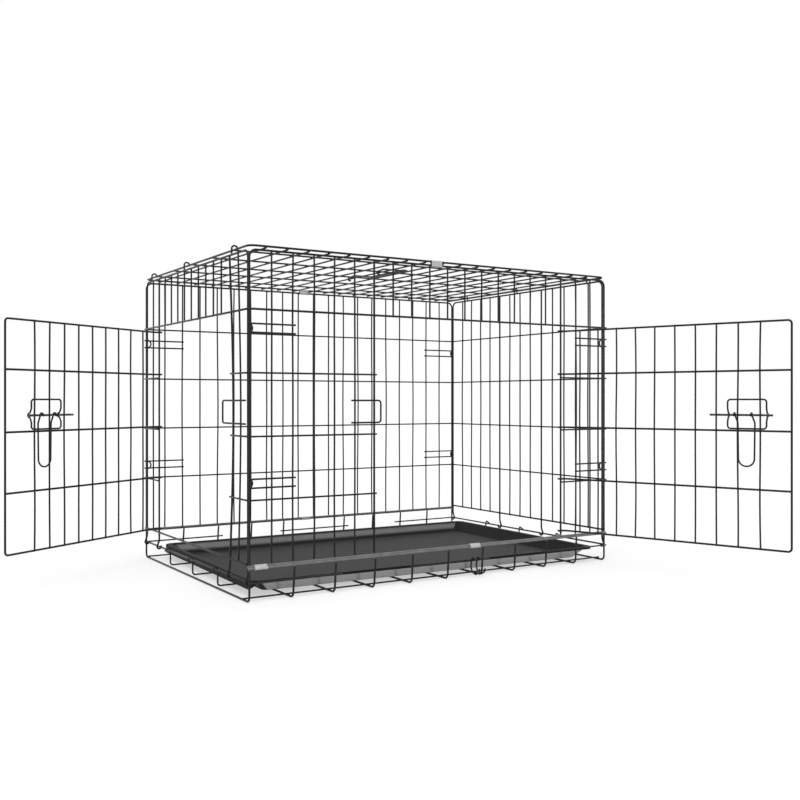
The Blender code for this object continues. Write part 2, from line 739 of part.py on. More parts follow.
def tray(cage):
    sheet = TRAY_SHEET
    floor = TRAY_BOTTOM + sheet
    under = TRAY_RIM - sheet
    hem = TRAY_RIM - TRAY_SKIRT
    bevel = TRAY_FOOT_BEVEL
    foot_x = TRAY_END_FLARE + bevel - sheet
    foot_y = TRAY_SIDE_FLARE + bevel - sheet
    foot_r = TRAY_FOOT_CORNER
    lip = TRAY_LIP
    lip_r = TRAY_CORNER - lip
    loops = [
        tray_loop(foot_x, foot_y, TRAY_BOTTOM, foot_r),
        tray_loop(foot_x - bevel, foot_y - bevel, TRAY_BOTTOM + TRAY_FOOT_RISE, foot_r + bevel - sheet),
        tray_loop(lip + sheet, lip + sheet, under - TRAY_EDGE, lip_r),
        tray_loop(lip, lip, under, lip_r),
        tray_loop(sheet, sheet, under, TRAY_CORNER - sheet),
        tray_loop(sheet, sheet, hem, TRAY_CORNER - sheet),
        tray_loop(0, 0, hem, TRAY_CORNER),
        tray_loop(0, 0, TRAY_RIM - TRAY_EDGE, TRAY_CORNER),
        tray_loop(TRAY_EDGE, TRAY_EDGE, TRAY_RIM, TRAY_CORNER - TRAY_EDGE),
        tray_loop(lip + sheet, lip + sheet, TRAY_RIM, lip_r),
        tray_loop(lip + 2 * sheet, lip + 2 * sheet, TRAY_RIM - TRAY_EDGE, lip_r),
        tray_loop(foot_x - bevel / 2, foot_y - bevel / 2, floor + TRAY_EDGE, foot_r + sheet),
        tray_loop(foot_x + sheet, foot_y + sheet, floor, foot_r - sheet),
    ]
    place(cage, "tray", loft_mesh("tray", loops), tray_plastic("tray"))


# Carry handle

def carry_hook(y):
    """Rod bent most of the way round the roof wire, then out to the grip."""
    across = Vector((1, 0, 0))
    up = Vector((0, 0, 1))
    ring = arc(Vector((0, y, 0)), CARRY_EYE, -50, -285, across, up, 8)
    end = [Vector((CARRY_SHANK, y, CARRY_RISE)), Vector((CARRY_REACH, y, CARRY_RISE))]
    return (ring + end, CARRY_R, False)


def grip_mesh(name):
    """Moulded grip: an oval bar with eased ends."""
    front = [(CARRY_FRONT - CARRY_GRIP_END * share, scale) for share, scale in CARRY_GRIP_SHAPE]
    back = [(CARRY_BACK + CARRY_GRIP_END * share, scale) for share, scale in reversed(CARRY_GRIP_SHAPE)]
    loops = []
    for y, scale in front + back:
        loop = []
        for k in range(12):
            angle = 2 * math.pi * (k + 0.5) / 12
            x = CARRY_REACH + CARRY_GRIP_X * scale * math.cos(angle)
            loop.append(Vector((x, y, CARRY_RISE + CARRY_GRIP_Z * scale * math.sin(angle))))
        loops.append(loop)
    return loft_mesh(name, loops)


def carry_handle(cage):
    hooks = tube_mesh("carry_hooks", [carry_hook(CARRY_FRONT), carry_hook(CARRY_BACK)])
    mesh = united("carry_handle", grip_mesh("carry_grip"), [hooks])
    axis = Vector((column_x(CARRY_WIRE + ROOF_PHASE), -HALF_Y, ROOF - CROSS))
    place(cage, "carry_handle", mesh, grip_plastic("carry_handle"), axis)


# Tray hooks

def tray_hook(cage, name, at):
    """Wire hung by an eye on the base's front middle rail, with a curled foot."""
    out = Vector((0, -1, 0))
    up = Vector((0, 0, 1))
    eye = arc(Vector((0, 0, 0)), TRAY_HOOK_EYE, 220, 0, out, up, 7)
    foot = out * TRAY_HOOK_EYE - up * (TRAY_HOOK_DROP - TRAY_HOOK_CURL)
    curl = arc(foot + out * TRAY_HOOK_CURL, TRAY_HOOK_CURL, 180, 320, out, up, 5)
    points = eye + curl
    axis = Vector((column_x(at), -HALF_Y - CROSS, MID_RAIL_Z))
    place(cage, name, tube_mesh(name, [(points, WIRE_R, False)], 0.0, 1), wire_black(name), axis)


# Hinge sleeves

def sleeve(cage, name, at, y, low):
    """Short flattened tube round two parallel wires."""
    inner = FRAME_R + SLEEVE_ROOM
    outer = inner + SLEEVE_SHEET

    def section(x, radius):
        points = []
        for centre, start in ((low + HINGE_DROP, 0), (low, 180)):
            middle = Vector((x, y, centre))
            points += arc(middle, radius, start, start + 180, Vector((0, 1, 0)), Vector((0, 0, 1)), 6)
        return points

    left = column_x(at) - SLEEVE_LENGTH / 2
    right = column_x(at) + SLEEVE_LENGTH / 2
    loops = [section(left, outer), section(right, outer), section(right, inner), section(left, inner)]
    place(cage, name, loft_mesh(name, loops, True), sleeve_steel(name))


def hinge_sleeves(cage):
    sleeve(cage, "roof_sleeve_front", ROOF_SLEEVE_AT, -HALF_Y, WALL_TOP)
    sleeve(cage, "roof_sleeve_back", ROOF_SLEEVE_AT, HALF_Y, WALL_TOP)
    front = -HALF_Y - CROSS
    sleeve(cage, "base_sleeve_front_left", BASE_SLEEVES_FRONT[0], front, BASE_TOP)
    sleeve(cage, "base_sleeve_front_right", BASE_SLEEVES_FRONT[1], front, BASE_TOP)
    sleeve(cage, "base_sleeve_back", BASE_SLEEVE_BACK, HALF_Y + CROSS, BASE_TOP)


# Build

collection = empty_scene()
base_frame(collection)
front_panel(collection)
back_panel(collection)
left_end_panel(collection)
right_end_panel(collection)
roof_panel(collection)
front_door(collection)
left_door(collection)
tray(collection)
carry_handle(collection)
tray_hook(collection, "tray_hook_left", TRAY_HOOKS[0])
tray_hook(collection, "tray_hook_right", TRAY_HOOKS[1])
hinge_sleeves(collection)
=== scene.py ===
import math

import bpy
import mathutils
import numpy as np
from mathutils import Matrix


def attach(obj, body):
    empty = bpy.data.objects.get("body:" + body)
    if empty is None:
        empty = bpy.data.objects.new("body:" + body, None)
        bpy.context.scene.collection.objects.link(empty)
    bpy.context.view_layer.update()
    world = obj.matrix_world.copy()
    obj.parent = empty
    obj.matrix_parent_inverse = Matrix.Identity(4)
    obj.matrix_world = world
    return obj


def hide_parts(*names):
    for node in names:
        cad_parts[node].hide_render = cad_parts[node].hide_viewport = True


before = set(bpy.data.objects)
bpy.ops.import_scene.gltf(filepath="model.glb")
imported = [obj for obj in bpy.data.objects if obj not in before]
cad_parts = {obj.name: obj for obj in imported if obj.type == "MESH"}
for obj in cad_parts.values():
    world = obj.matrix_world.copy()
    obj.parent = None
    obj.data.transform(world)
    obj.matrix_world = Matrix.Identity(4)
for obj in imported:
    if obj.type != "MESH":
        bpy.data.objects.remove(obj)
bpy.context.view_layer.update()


# Base frame: eleven hoops of thick drawn steel wire carry thin lengthwise wires, and two end rails.
# Every crossing is resistance-welded, so the wires are pressed into one another with a small nugget.
# The whole frame is then coated in satin black paint by dipping.

PITCH_X = 0.038
COUNT_X = 20
PITCH_Y = 0.0375
HALF_X = PITCH_X * COUNT_X / 2
HALF_Y = 0.2625
THICK = 0.0018
THIN = 0.0015
END_RAIL = 0.0017
CROSS = 0.0029
STUB = 0.0035
RUNNING_GAP = 0.0004
FLOOR_Z = 0.001902
FLOOR_CROSS_Z = 0.004732
BASE_TOP = 0.0548
END_RAIL_Z = 0.0325
MID_RAIL_Z = 0.0315
HOOP_LEAN = 0.0030
HOOP_BEND = 0.008
FLOOR_RAIL_INSET = 0.018
# The spans and the floor wires' places count pitches; a floor wire's hook is measured from the end rail.
MID_RAIL_SPANS = ((-0.08, 4.36), (7.9, 12.4), (15.7, 20.08))
FLOOR_WIRES = (3.75, 7.0, 10.25)
POST_OFFSET = 0.0026
HOOK_CROWN = (-0.0010, 0.0060)
HOOK_TAIL = (0.0085, -0.0005)
HOOK_BENDS = [0, 0.005, 0.003, 0.0016, 0]
UP = np.array([0.0, 0.0, 1.0])


def turn(centre, radius, start, end, across, up, steps):
    """An arc: the centre plus the radius along a direction that turns from start to end degrees."""
    angle = np.radians(np.linspace(start, end, steps + 1))[:, None]
    return np.asarray(centre) + radius * (np.cos(angle) * np.asarray(across) + np.sin(angle) * np.asarray(up))


def bent(points, radius, loop=False, steps=8):
    """The polyline with a circular arc at each corner, tangent to both straight stretches beside it."""
    points = np.asarray(points, float)
    radii = np.broadcast_to(radius, len(points))
    made = []
    for i, corner in enumerate(points):
        if not loop and i in (0, len(points) - 1):
            made.append(corner[None])
            continue
        before = points[i - 1] - corner
        after = points[(i + 1) % len(points)] - corner
        before = before / np.linalg.norm(before)
        after = after / np.linalg.norm(after)
        half = math.acos(np.clip(before @ after, -1, 1)) / 2
        middle = (before + after) / np.linalg.norm(before + after)
        centre = corner + middle * radii[i] / math.sin(half)
        first = corner + before * radii[i] / math.tan(half) - centre
        last = corner + after * radii[i] / math.tan(half) - centre
        share = np.linspace(0, 1, steps + 1)[:, None]
        swing = math.pi - 2 * half
        arc = (np.sin((1 - share) * swing) * first + np.sin(share * swing) * last) / math.sin(swing)
        made.append(centre + arc)
    return np.concatenate(made)


def slack(start, end, sideways, amount, draws, stations=11):
    """A straight wire with a slight sideways weave: two sine waves that are nil at both ends."""
    share = np.linspace(0, 1, stations)[:, None]
    first, second = draws.uniform(-amount, amount, 2)
    weave = first * np.sin(math.pi * share) + 0.6 * second * np.sin(3 * math.pi * share)
    return np.asarray(start) * (1 - share) + np.asarray(end) * share + np.asarray(sideways) * weave


def square_to(tangents):
    """Two unit directions square to each tangent, from the fixed direction that no tangent comes near."""
    hints = np.array([[1, 0, 0], [0, 1, 0], [0, 0, 1], [1, 1, 0], [1, -1, 0], [1, 0, 1], [0, 1, 1],
                      [1, 1, 1]], float)
    hints /= np.linalg.norm(hints, axis=1)[:, None]
    hint = hints[np.abs(tangents @ hints.T).max(axis=0).argmin()]
    normal = hint - tangents * (tangents @ hint)[:, None]
    normal /= np.linalg.norm(normal, axis=1)[:, None]
    return normal, np.cross(tangents, normal)


def ring_faces(rows, around, looped=False):
    """Quads between neighbouring rings of points; in a loop the last ring is joined to the first."""
    start = np.arange(rows if looped else rows - 1)[:, None] * around
    above = (start + around) % (rows * around)
    here = np.arange(around)
    following = (here + 1) % around
    quads = np.stack([start + here, start + following, above + following, above + here], axis=-1)
    return quads.reshape(-1, 4)


def end_caps(rows, around):
    """The first and the last ring as one face each, both facing away from the rings between."""
    here = np.arange(around)[None]
    return [here[:, ::-1], here + (rows - 1) * around]


# The corner order of a turned-over quad, for rings that run the other way round their path.
TURNED_OVER = [0, 3, 2, 1]


def drawn_wire(path, radius, loop=False, sides=12):
    """Round wire: a circle square to the path at each of its points; open ends are eased and closed."""
    path = np.asarray(path, float)
    girth = np.ones(len(path))
    if not loop:
        # How an end narrows: places along the wire and the girth there, both in radii.
        eased = np.array([[0.0, 0.60], [0.10, 0.86], [0.34, 1.0]])
        ahead = (path[1] - path[0]) / np.linalg.norm(path[1] - path[0])
        behind = (path[-2] - path[-1]) / np.linalg.norm(path[-2] - path[-1])
        head = path[0] + ahead * radius * eased[:, :1]
        tail = path[-1] + behind * radius * eased[::-1, :1]
        girth = np.concatenate([eased[:, 1], girth[1:-1], eased[::-1, 1]])
        path = np.concatenate([head, path[1:-1], tail])
    step = np.roll(path, -1, axis=0) - path
    step /= np.linalg.norm(step, axis=1)[:, None]
    last = np.roll(step, 1, axis=0)
    if not loop:
        step[-1] = last[-1]
        last[0] = step[0]
    tangents = step + last
    tangents /= np.linalg.norm(tangents, axis=1)[:, None]
    normal, side = square_to(tangents)
    angle = np.linspace(0, 2 * math.pi, sides, endpoint=False)[None, :, None]
    ring = np.cos(angle) * normal[:, None] + np.sin(angle) * side[:, None]
    points = path[:, None] + radius * girth[:, None, None] * ring
    faces = [ring_faces(len(path), sides, loop)]
    if not loop:
        faces += end_caps(len(path), sides)
    return points.reshape(-1, 3), faces


def crossings(wires):
    """Where two wires of a piece touch: the nearest points of each two straight stretches that meet."""
    start = np.concatenate([w[0][:-1] for w in wires])
    end = np.concatenate([w[0][1:] for w in wires])
    owner = np.concatenate([np.full(len(w[0]) - 1, i) for i, w in enumerate(wires)])
    radius = np.array([w[1] for w in wires])[owner]
    middle = np.array([w[0].mean(axis=0) for w in wires])[owner]
    a, b = np.triu_indices(len(start), 1)
    low = np.minimum(start, end) - radius[:, None]
    high = np.maximum(start, end) + radius[:, None]
    near = (low[a] <= high[b]).all(axis=1) & (low[b] <= high[a]).all(axis=1) & (owner[a] != owner[b])
    a = a[near]
    b = b[near]
    u = end[a] - start[a]
    v = end[b] - start[b]
    long_u = np.linalg.norm(u, axis=1)
    long_v = np.linalg.norm(v, axis=1)
    u /= long_u[:, None]
    v /= long_v[:, None]
    between = start[b] - start[a]
    dot = (u * v).sum(axis=1)
    spread = np.maximum(1 - dot * dot, 1e-9)
    along_u = ((between * u).sum(axis=1) - dot * (between * v).sum(axis=1)) / spread
    along_v = (dot * (between * u).sum(axis=1) - (between * v).sum(axis=1)) / spread
    p = start[a] + u * along_u[:, None]
    q = start[b] + v * along_v[:, None]
    reach = radius[a] + radius[b]
    apart = np.linalg.norm(p - q, axis=1)
    edge = 0.0004
    slant = 0.5
    held = (np.abs(dot) < slant) & (apart < reach) & (along_u > -edge) & (along_u < long_u + edge)
    held &= (along_v > -edge) & (along_v < long_v + edge)
    a, b, u, v, p, q, apart = [values[held] for values in (a, b, u, v, p, q, apart)]
    share = (radius[a] / (radius[a] + radius[b]))[:, None]
    spots = p * (1 - share) + q * share
    thin = np.where(radius[a] < radius[b], a, b)
    lean = middle[thin] - spots
    along = np.where((thin == a)[:, None], u, v)
    lean = along * np.sign((lean * along).sum(axis=1))[:, None] * np.maximum(radius[a], radius[b])[:, None]
    butted = apart < 0.5 * np.minimum(radius[a], radius[b])
    spots = spots + lean * butted[:, None]
    out = np.cross(u, v)
    out /= np.linalg.norm(out, axis=1)[:, None]
    # A crossing that two stretches share is kept once, by cells a third of a centimetre wide.
    cells = 300
    keys = np.column_stack([owner[a], owner[b], np.round(spots * cells)])
    once = np.unique(keys, axis=0, return_index=True)[1]
    axes = np.stack([u, np.cross(out, u), out], axis=1)
    return spots[once], axes[once], np.minimum(radius[a], radius[b])[once]


NUGGET_WIDTH = (1.22, 1.48)
NUGGET_SKEW = (0.9, 1.1)
NUGGET_FLAT = 0.86


def weld_nuggets(wires, draws, rings=4, sides=8):
    """Squeezed-out steel: at each crossing an ellipsoid, wide along both wires and flat between them."""
    spots, axes, radius = crossings(wires)
    fall = np.linspace(0, math.pi, rings + 1)[1:-1]
    angle = np.linspace(0, 2 * math.pi, sides, endpoint=False)
    belt = np.stack([np.sin(fall)[:, None] * np.cos(angle), np.sin(fall)[:, None] * np.sin(angle),
                     np.cos(fall)[:, None] * np.ones(sides)], axis=-1).reshape(-1, 3)
    ball = np.concatenate([belt, [[0, 0, 1], [0, 0, -1]]])
    width = radius * draws.uniform(*NUGGET_WIDTH, len(spots))
    size = np.stack([width, width * draws.uniform(*NUGGET_SKEW, len(spots)), radius * NUGGET_FLAT], axis=1)
    shaped = (ball[None] * size[:, None]) @ axes
    points = (spots[:, None] + shaped).reshape(-1, 3)
    here = np.arange(sides)
    following = (here + 1) % sides
    last = (rings - 2) * sides
    quads = ring_faces(rings - 1, sides)[:, TURNED_OVER]
    top = np.stack([np.full(sides, len(belt)), here, following], axis=-1)
    bottom = np.stack([np.full(sides, len(belt) + 1), last + following, last + here], axis=-1)
    poles = np.concatenate([top, bottom])
    offset = (np.arange(len(spots)) * len(ball))[:, None, None]
    return points, [(quads + offset).reshape(-1, 4), (poles + offset).reshape(-1, 3)]


def linked(name, data):
    made = bpy.data.objects.new(name, data)
    bpy.context.scene.collection.objects.link(made)
    return made


def mesh_piece(name, surfaces):
    """One smooth object out of surfaces: points, and arrays of faces with equal corner counts."""
    points = []
    corners = []
    counts = []
    offset = 0
    for surface, face_sets in surfaces:
        points.append(surface)
        for faces in face_sets:
            corners.append((faces + offset).ravel())
            counts.append(np.full(len(faces), faces.shape[1]))
        offset += len(surface)
    points = np.concatenate(points).astype(np.float32)
    corners = np.concatenate(corners).astype(np.int32)
    counts = np.concatenate(counts)
    starts = np.concatenate([[0], np.cumsum(counts)[:-1]]).astype(np.int32)
    mesh = bpy.data.meshes.new(name)
    mesh.vertices.add(len(points))
    mesh.vertices.foreach_set("co", points.ravel())
    mesh.loops.add(len(corners))
    mesh.loops.foreach_set("vertex_index", corners)
    mesh.polygons.add(len(counts))
    mesh.polygons.foreach_set("loop_start", starts)
    mesh.update(calc_edges=True)
    mesh.validate()
    mesh.shade_smooth()
    return linked(name, mesh)


def wire_piece(name, wires, draws=None):
    """A piece of drawn wires, each a path, a radius and whether it is a loop; with draws it is welded."""
    wires = [(np.asarray(path, float), radius, loop) for path, radius, loop in wires]
    surfaces = [drawn_wire(path, radius, loop) for path, radius, loop in wires]
    if draws:
        surfaces.append(weld_nuggets(wires, draws))
    return mesh_piece(name, surfaces)


class Shade:
    """One value in a material's nodes: arithmetic adds Math nodes, and node() adds any other node."""

    def __init__(self, tree, socket=None):
        self.tree = tree
        self.socket = socket

    def node(self, kind, settings, inputs, output=0):
        made = self.tree.nodes.new(kind)
        for key, value in settings.items():
            setattr(made, key, value)
        for key, value in inputs.items():
            if isinstance(value, Shade):
                self.tree.links.new(value.socket, made.inputs[key])
            else:
                made.inputs[key].default_value = value
        return Shade(self.tree, made.outputs[output])

    def maths(self, operation, first, second):
        return self.node("ShaderNodeMath", {"operation": operation}, {0: first, 1: second})

    def __add__(self, other):
        return self.maths("ADD", self, other)

    def __radd__(self, other):
        return self.maths("ADD", other, self)

    def __mul__(self, other):
        return self.maths("MULTIPLY", self, other)

    def __rmul__(self, other):
        return self.maths("MULTIPLY", other, self)


def finish_of(name, roughness):
    """A new material: its shader, a starting Shade and its Object coordinates."""
    made = bpy.data.materials.new(name)
    made.use_nodes = True
    shader = made.node_tree.nodes["Principled BSDF"]
    start = Shade(made.node_tree)
    place = start.node("ShaderNodeTexCoord", {}, {}, "Object")
    shader.inputs["Roughness"].default_value = roughness
    return made, shader, start, place


def feed(shader, name, value):
    value.tree.links.new(value.socket, shader.inputs[name])


def noise(start, place, scale, detail=2.0, roughness=0.5):
    return start.node("ShaderNodeTexNoise", {}, {"Vector": place, "Scale": scale, "Detail": detail,
                                                 "Roughness": roughness}, "Fac")


def axis_part(start, vector, axis):
    return start.node("ShaderNodeSeparateXYZ", {}, {"Vector": vector}, axis)


def facing(start, axis):
    """How far the surface faces along an axis, which is that part of its normal."""
    return axis_part(start, start.node("ShaderNodeNewGeometry", {}, {}, "Normal"), axis)


def ramp(start, value, low, high):
    """0 below low, 1 above high and straight between."""
    return start.node("ShaderNodeMapRange", {"clamp": True},
                      {"Value": value, "From Min": low, "From Max": high})


def between(start, value, rise, fall):
    """1 inside a band: a ramp up times a ramp down."""
    return ramp(start, value, *rise) * ramp(start, value, *fall)


def blend_colours(start, factor, first, second):
    return start.node("ShaderNodeMix", {"data_type": "RGBA"}, {0: factor, 6: first, 7: second}, 2)


def bumped(start, shader, height, strength, distance):
    bump = start.node("ShaderNodeBump", {}, {"Height": height, "Strength": strength, "Distance": distance})
    feed(shader, "Normal", bump)


COAT_BLACK = (0.0060, 0.0060, 0.0066, 1)
COAT_DUST = (0.030, 0.029, 0.028, 1)
COAT_SPECK = (0.085, 0.083, 0.080, 1)
# Painted sheen: a grey band on the hinge rails stands in for the light those rails reflect.
HINGE_SHEEN_GREY = (0.240, 0.238, 0.234, 1)
HINGE_SHEEN_BAND = ((0.0500, 0.0525), (0.0610, 0.0595))


def black_coat(name, gloss=0.30, dust=0.5, rubbed=0.25, hinge_sheen=0.0):
    """Dip-coated wire: near-black orange peel, dusty on top, grey specks, and a painted sheen of grey on the
    hinge rails.
    """
    made, shader, start, place = finish_of(name, gloss)
    patches = noise(start, place, 70.0, 3.0)
    specks = noise(start, place, 420.0, 4.0, 0.62)
    peel = noise(start, place, 1500.0)
    settled = ramp(start, facing(start, "Z"), 0.35, 1.0) * patches * dust
    # Painted sheen: rails in one band of height are painted grey for the light they reflect.
    hinge_sheen_mask = between(start, axis_part(start, place, "Z"), *HINGE_SHEEN_BAND) * hinge_sheen
    worn = ramp(start, specks, 0.66, 0.74) * rubbed
    dusty = blend_colours(start, settled, COAT_BLACK, COAT_DUST)
    specked = blend_colours(start, worn, dusty, COAT_SPECK)
    colour = blend_colours(start, hinge_sheen_mask * (0.40 + patches * 0.8), specked, HINGE_SHEEN_GREY)
    feed(shader, "Base Color", colour)
    feed(shader, "Roughness", gloss + patches * 0.16 + settled * 0.20)
    shader.inputs["Specular IOR Level"].default_value = 0.24
    shader.inputs["Coat Weight"].default_value = 0.06
    shader.inputs["Coat Roughness"].default_value = 0.15
    bumped(start, shader, peel + patches * 0.8, 0.22, 0.0003)
    return made


def along_x(count):
    return -HALF_X + PITCH_X * count


base_draws = np.random.default_rng(11)
base_wires = []
for count in range(0, COUNT_X + 1, 2):
    x = along_x(count)
    top = x + (HOOP_LEAN if 0 < count < COUNT_X else 0)
    hoop = [(top, -HALF_Y, BASE_TOP), (x, -HALF_Y, FLOOR_Z), (x, HALF_Y, FLOOR_Z), (top, HALF_Y, BASE_TOP)]
    base_wires.append((bent(hoop, HOOP_BEND), THICK, False))
for side in (-1, 1):
    x = side * HALF_X
    outer = side * (HALF_Y + CROSS)
    inner = side * (HALF_Y - FLOOR_RAIL_INSET)
    base_wires.append(([(x, -HALF_Y, END_RAIL_Z), (x, HALF_Y, END_RAIL_Z)], END_RAIL, False))
    for y, z, radius in ((outer, BASE_TOP, THICK), (inner, FLOOR_CROSS_Z, THIN)):
        base_wires.append(([(-HALF_X - STUB, y, z), (HALF_X + STUB, y, z)], radius, False))
    for first, last in MID_RAIL_SPANS:
        ends = [(along_x(first), outer, MID_RAIL_Z), (along_x(last), outer, MID_RAIL_Z)]
        base_wires.append((ends, THIN, False))
for at in FLOOR_WIRES:
    y = -HALF_Y + PITCH_Y * at
    run = []
    for side in (-1, 1):
        x = side * (HALF_X - POST_OFFSET)
        post = [(0, y, FLOOR_CROSS_Z), (x, y, FLOOR_CROSS_Z), (x, y, END_RAIL_Z)]
        crown = (side * (HALF_X + HOOK_CROWN[0]), y, END_RAIL_Z + HOOK_CROWN[1])
        tail = (side * (HALF_X + HOOK_TAIL[0]), y, END_RAIL_Z + HOOK_TAIL[1])
        run.append(bent([*post, crown, tail], HOOK_BENDS, False, 6)[1:])
    base_wires.append((np.concatenate([run[0][::-1], run[1]]), THIN, False))
base_frame = wire_piece("base_frame_wires", base_wires, base_draws)
base_frame.data.materials.append(black_coat("base_coat", 0.30, 0.7, 0.35, 1.0))
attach(base_frame, "cage")
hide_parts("base_frame")


# Front wall: a bent thick wire makes its top and sides, thick rails run below and above the doorway.
# Thin wires stand 38 mm apart, welded to the rails; short pairs of wires hold the end walls' half rings.
# It is welded flat and coated, then hinged to the base and the roof by crimped sleeves.

BOTTOM_RAIL = 0.0614
RAIL_STEP = 0.1006
RAILS = [BOTTOM_RAIL + RAIL_STEP * i for i in range(5)]
ROOF_Z = BOTTOM_RAIL + RAIL_STEP * 5
FOOT_RAIL = BASE_TOP + 0.0025
WALL_TOP = ROOF_Z - 0.0066
TRIM = 0.0011
CORNER_R = 0.012
PAIR_HEIGHTS = (0.4338, 0.1884)
PAIR_HALF = 0.007
PAIR_PITCHES = 2
FRONT_JAMBS = (6, 17)
WEAVE = 0.0011
SHORT_WEAVE = 0.0002


def long_rail(y, z, first, last, radius):
    return ([(along_x(first) - STUB, y, z), (along_x(last) + STUB, y, z)], radius, False)


def wall_frame(y, outward):
    """The bent frame wire of a long wall, its bottom rail, and the two short pairs at each end."""
    low = FOOT_RAIL - TRIM
    outer = y + outward * CROSS
    sides = [(-HALF_X, y, low), (-HALF_X, y, WALL_TOP), (HALF_X, y, WALL_TOP), (HALF_X, y, low)]
    made = [(bent(sides, CORNER_R), THICK, False), long_rail(y, FOOT_RAIL, 0, COUNT_X, THICK)]
    for height in PAIR_HEIGHTS:
        for z in (height - PAIR_HALF, height + PAIR_HALF):
            made.append(long_rail(outer, z, 0, PAIR_PITCHES, THIN))
            made.append(long_rail(outer, z, COUNT_X - PAIR_PITCHES, COUNT_X, THIN))
    return made


front_draws = np.random.default_rng(23)
y = -HALF_Y
front_wires = wall_frame(y, -1)
front_wires.append(long_rail(y - CROSS, RAILS[4], 0, COUNT_X, THICK))
for count in range(1, COUNT_X):
    x = along_x(count)
    over_doorway = FRONT_JAMBS[0] < count < FRONT_JAMBS[1]
    low = (RAILS[4] if over_doorway else FOOT_RAIL) - TRIM
    if count in FRONT_JAMBS:
        front_wires.append(([(x, y, low), (x, y, WALL_TOP - TRIM)], THICK, False))
    else:
        weave = SHORT_WEAVE if over_doorway else WEAVE
        front_wires.append((slack((x, y, low), (x, y, WALL_TOP), (1, 0, 0), weave, front_draws), THIN, False))
for z in RAILS[1:4]:
    front_wires.append(long_rail(y - CROSS, z, 0, FRONT_JAMBS[0], THIN))
    front_wires.append(long_rail(y - CROSS, z, FRONT_JAMBS[1], COUNT_X, THIN))
front_panel = wire_piece("front_panel_wires", front_wires, front_draws)
front_panel.data.materials.append(black_coat("front_panel_coat", hinge_sheen=1.0))
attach(front_panel, "cage")
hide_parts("front_panel")


# Back wall: the same bent frame with thin wires from end to end and four thin rails, without a doorway.
# It hinges on the base's back rail and on the roof in the same way as the front.

back_draws = np.random.default_rng(37)
y = HALF_Y
back_wires = wall_frame(y, 1)
for count in range(1, COUNT_X):
    x = along_x(count)
    rod = slack((x, y, FOOT_RAIL - TRIM), (x, y, WALL_TOP), (1, 0, 0), WEAVE, back_draws)
    back_wires.append((rod, THIN, False))
for z in RAILS[1:]:
    back_wires.append(long_rail(y + CROSS, z, 0, COUNT_X, THIN))
back_panel = wire_piece("back_panel_wires", back_wires, back_draws)
back_panel.data.materials.append(black_coat("back_panel_coat", hinge_sheen=1.0))
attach(back_panel, "cage")
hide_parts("back_panel")


# End walls: a thick hoop whose feet, and those of two more thick wires, are curled round the base's end rail.
# They stand just inside the long walls, and half rings on their side wires bear on the short pairs.
# The right one folds inwards on its curled feet; the left one has a doorway with thick wires beside it.

END_COUNT = 14
END_HALF = HALF_Y - 0.0090
END_PITCH = 2 * END_HALF / END_COUNT
HOOP_HALF = HALF_Y - 0.0052
EYE_RING = 0.0041
FOOT_START = 0.0250
STOP_RING = 0.0075
LEFT_JAMBS = (2, 12)
LEFT_SPRINGS = {1: -0.0115, 2: -0.0160}
RIGHT_FEET = (5, 9)


def along_y(count):
    return -END_HALF + END_PITCH * count


def sprung(z):
    """How far a wire has sprung sideways at a height: half a sine wave from the end rail to the roof."""
    return np.sin(math.pi * np.clip((np.asarray(z) - END_RAIL_Z) / (WALL_TOP - END_RAIL_Z), 0, 1))


def curled_foot(side, y):
    """The foot of an end wall's wire: down beside the end rail and most of a turn round it."""
    axis = np.array([side * HALF_X, y, END_RAIL_Z])
    across = np.array([side, 0, 0])
    curl = turn(axis, EYE_RING, 20, -205, across, UP, 20)
    lead = axis + np.array([[0, 0, 0.0150], [side * 0.0006, 0, 0.0098], [side * 0.0024, 0, 0.0056]])
    return np.concatenate([lead, curl])


def end_wall(side, curled, doorway, springs, draws):
    """All wires of an end wall: curled lists the inner wires with a foot, springs how far wires bow."""
    x = side * HALF_X
    outer = x + side * CROSS
    near = curled_foot(side, -HOOP_HALF)
    far = curled_foot(side, HOOP_HALF)
    hoop = bent([near[0], (x, -HOOP_HALF, WALL_TOP), (x, HOOP_HALF, WALL_TOP), far[0]], CORNER_R)
    made = [(np.concatenate([near[:0:-1], hoop, far[1:]]), THICK, False)]
    jamb, hinge = LEFT_JAMBS
    for count in range(1, END_COUNT):
        y = along_y(count)
        if count in curled:
            radius = THICK
            rod = slack((x, y, WALL_TOP - TRIM), (x, y, END_RAIL_Z + FOOT_START), (0, 1, 0), 0, draws, 16)
            rod = np.concatenate([rod, curled_foot(side, y)])
        else:
            radius = THIN
            short = doorway and jamb < count < hinge
            low = (RAILS[4] if short else BOTTOM_RAIL) - TRIM
            rod = slack((x, y, low), (x, y, WALL_TOP), (0, 1, 0), SHORT_WEAVE if short else WEAVE, draws, 16)
        rod[:, 1] += springs.get(count, 0) * sprung(rod[:, 2])
        made.append((rod, radius, False))
    reach = HOOP_HALF + TRIM
    for i, z in enumerate(RAILS):
        heavy = i == 0 or (doorway and i == 4)
        spans = [(-reach, reach)]
        if doorway and not heavy:
            bow = springs.get(jamb, 0) * sprung(z)
            spans = [(-reach, along_y(jamb) + STUB + bow), (along_y(hinge) - STUB, reach)]
        for first, last in spans:
            made.append(([(outer, first, z), (outer, last, z)], THICK if heavy else THIN, False))
    inward = np.array([-side, 0, 0])
    for y in (-HOOP_HALF, HOOP_HALF):
        for height in PAIR_HEIGHTS:
            made.append((turn((x, y, height), STOP_RING, -90, 90, inward, UP, 16), THIN, False))
    return made


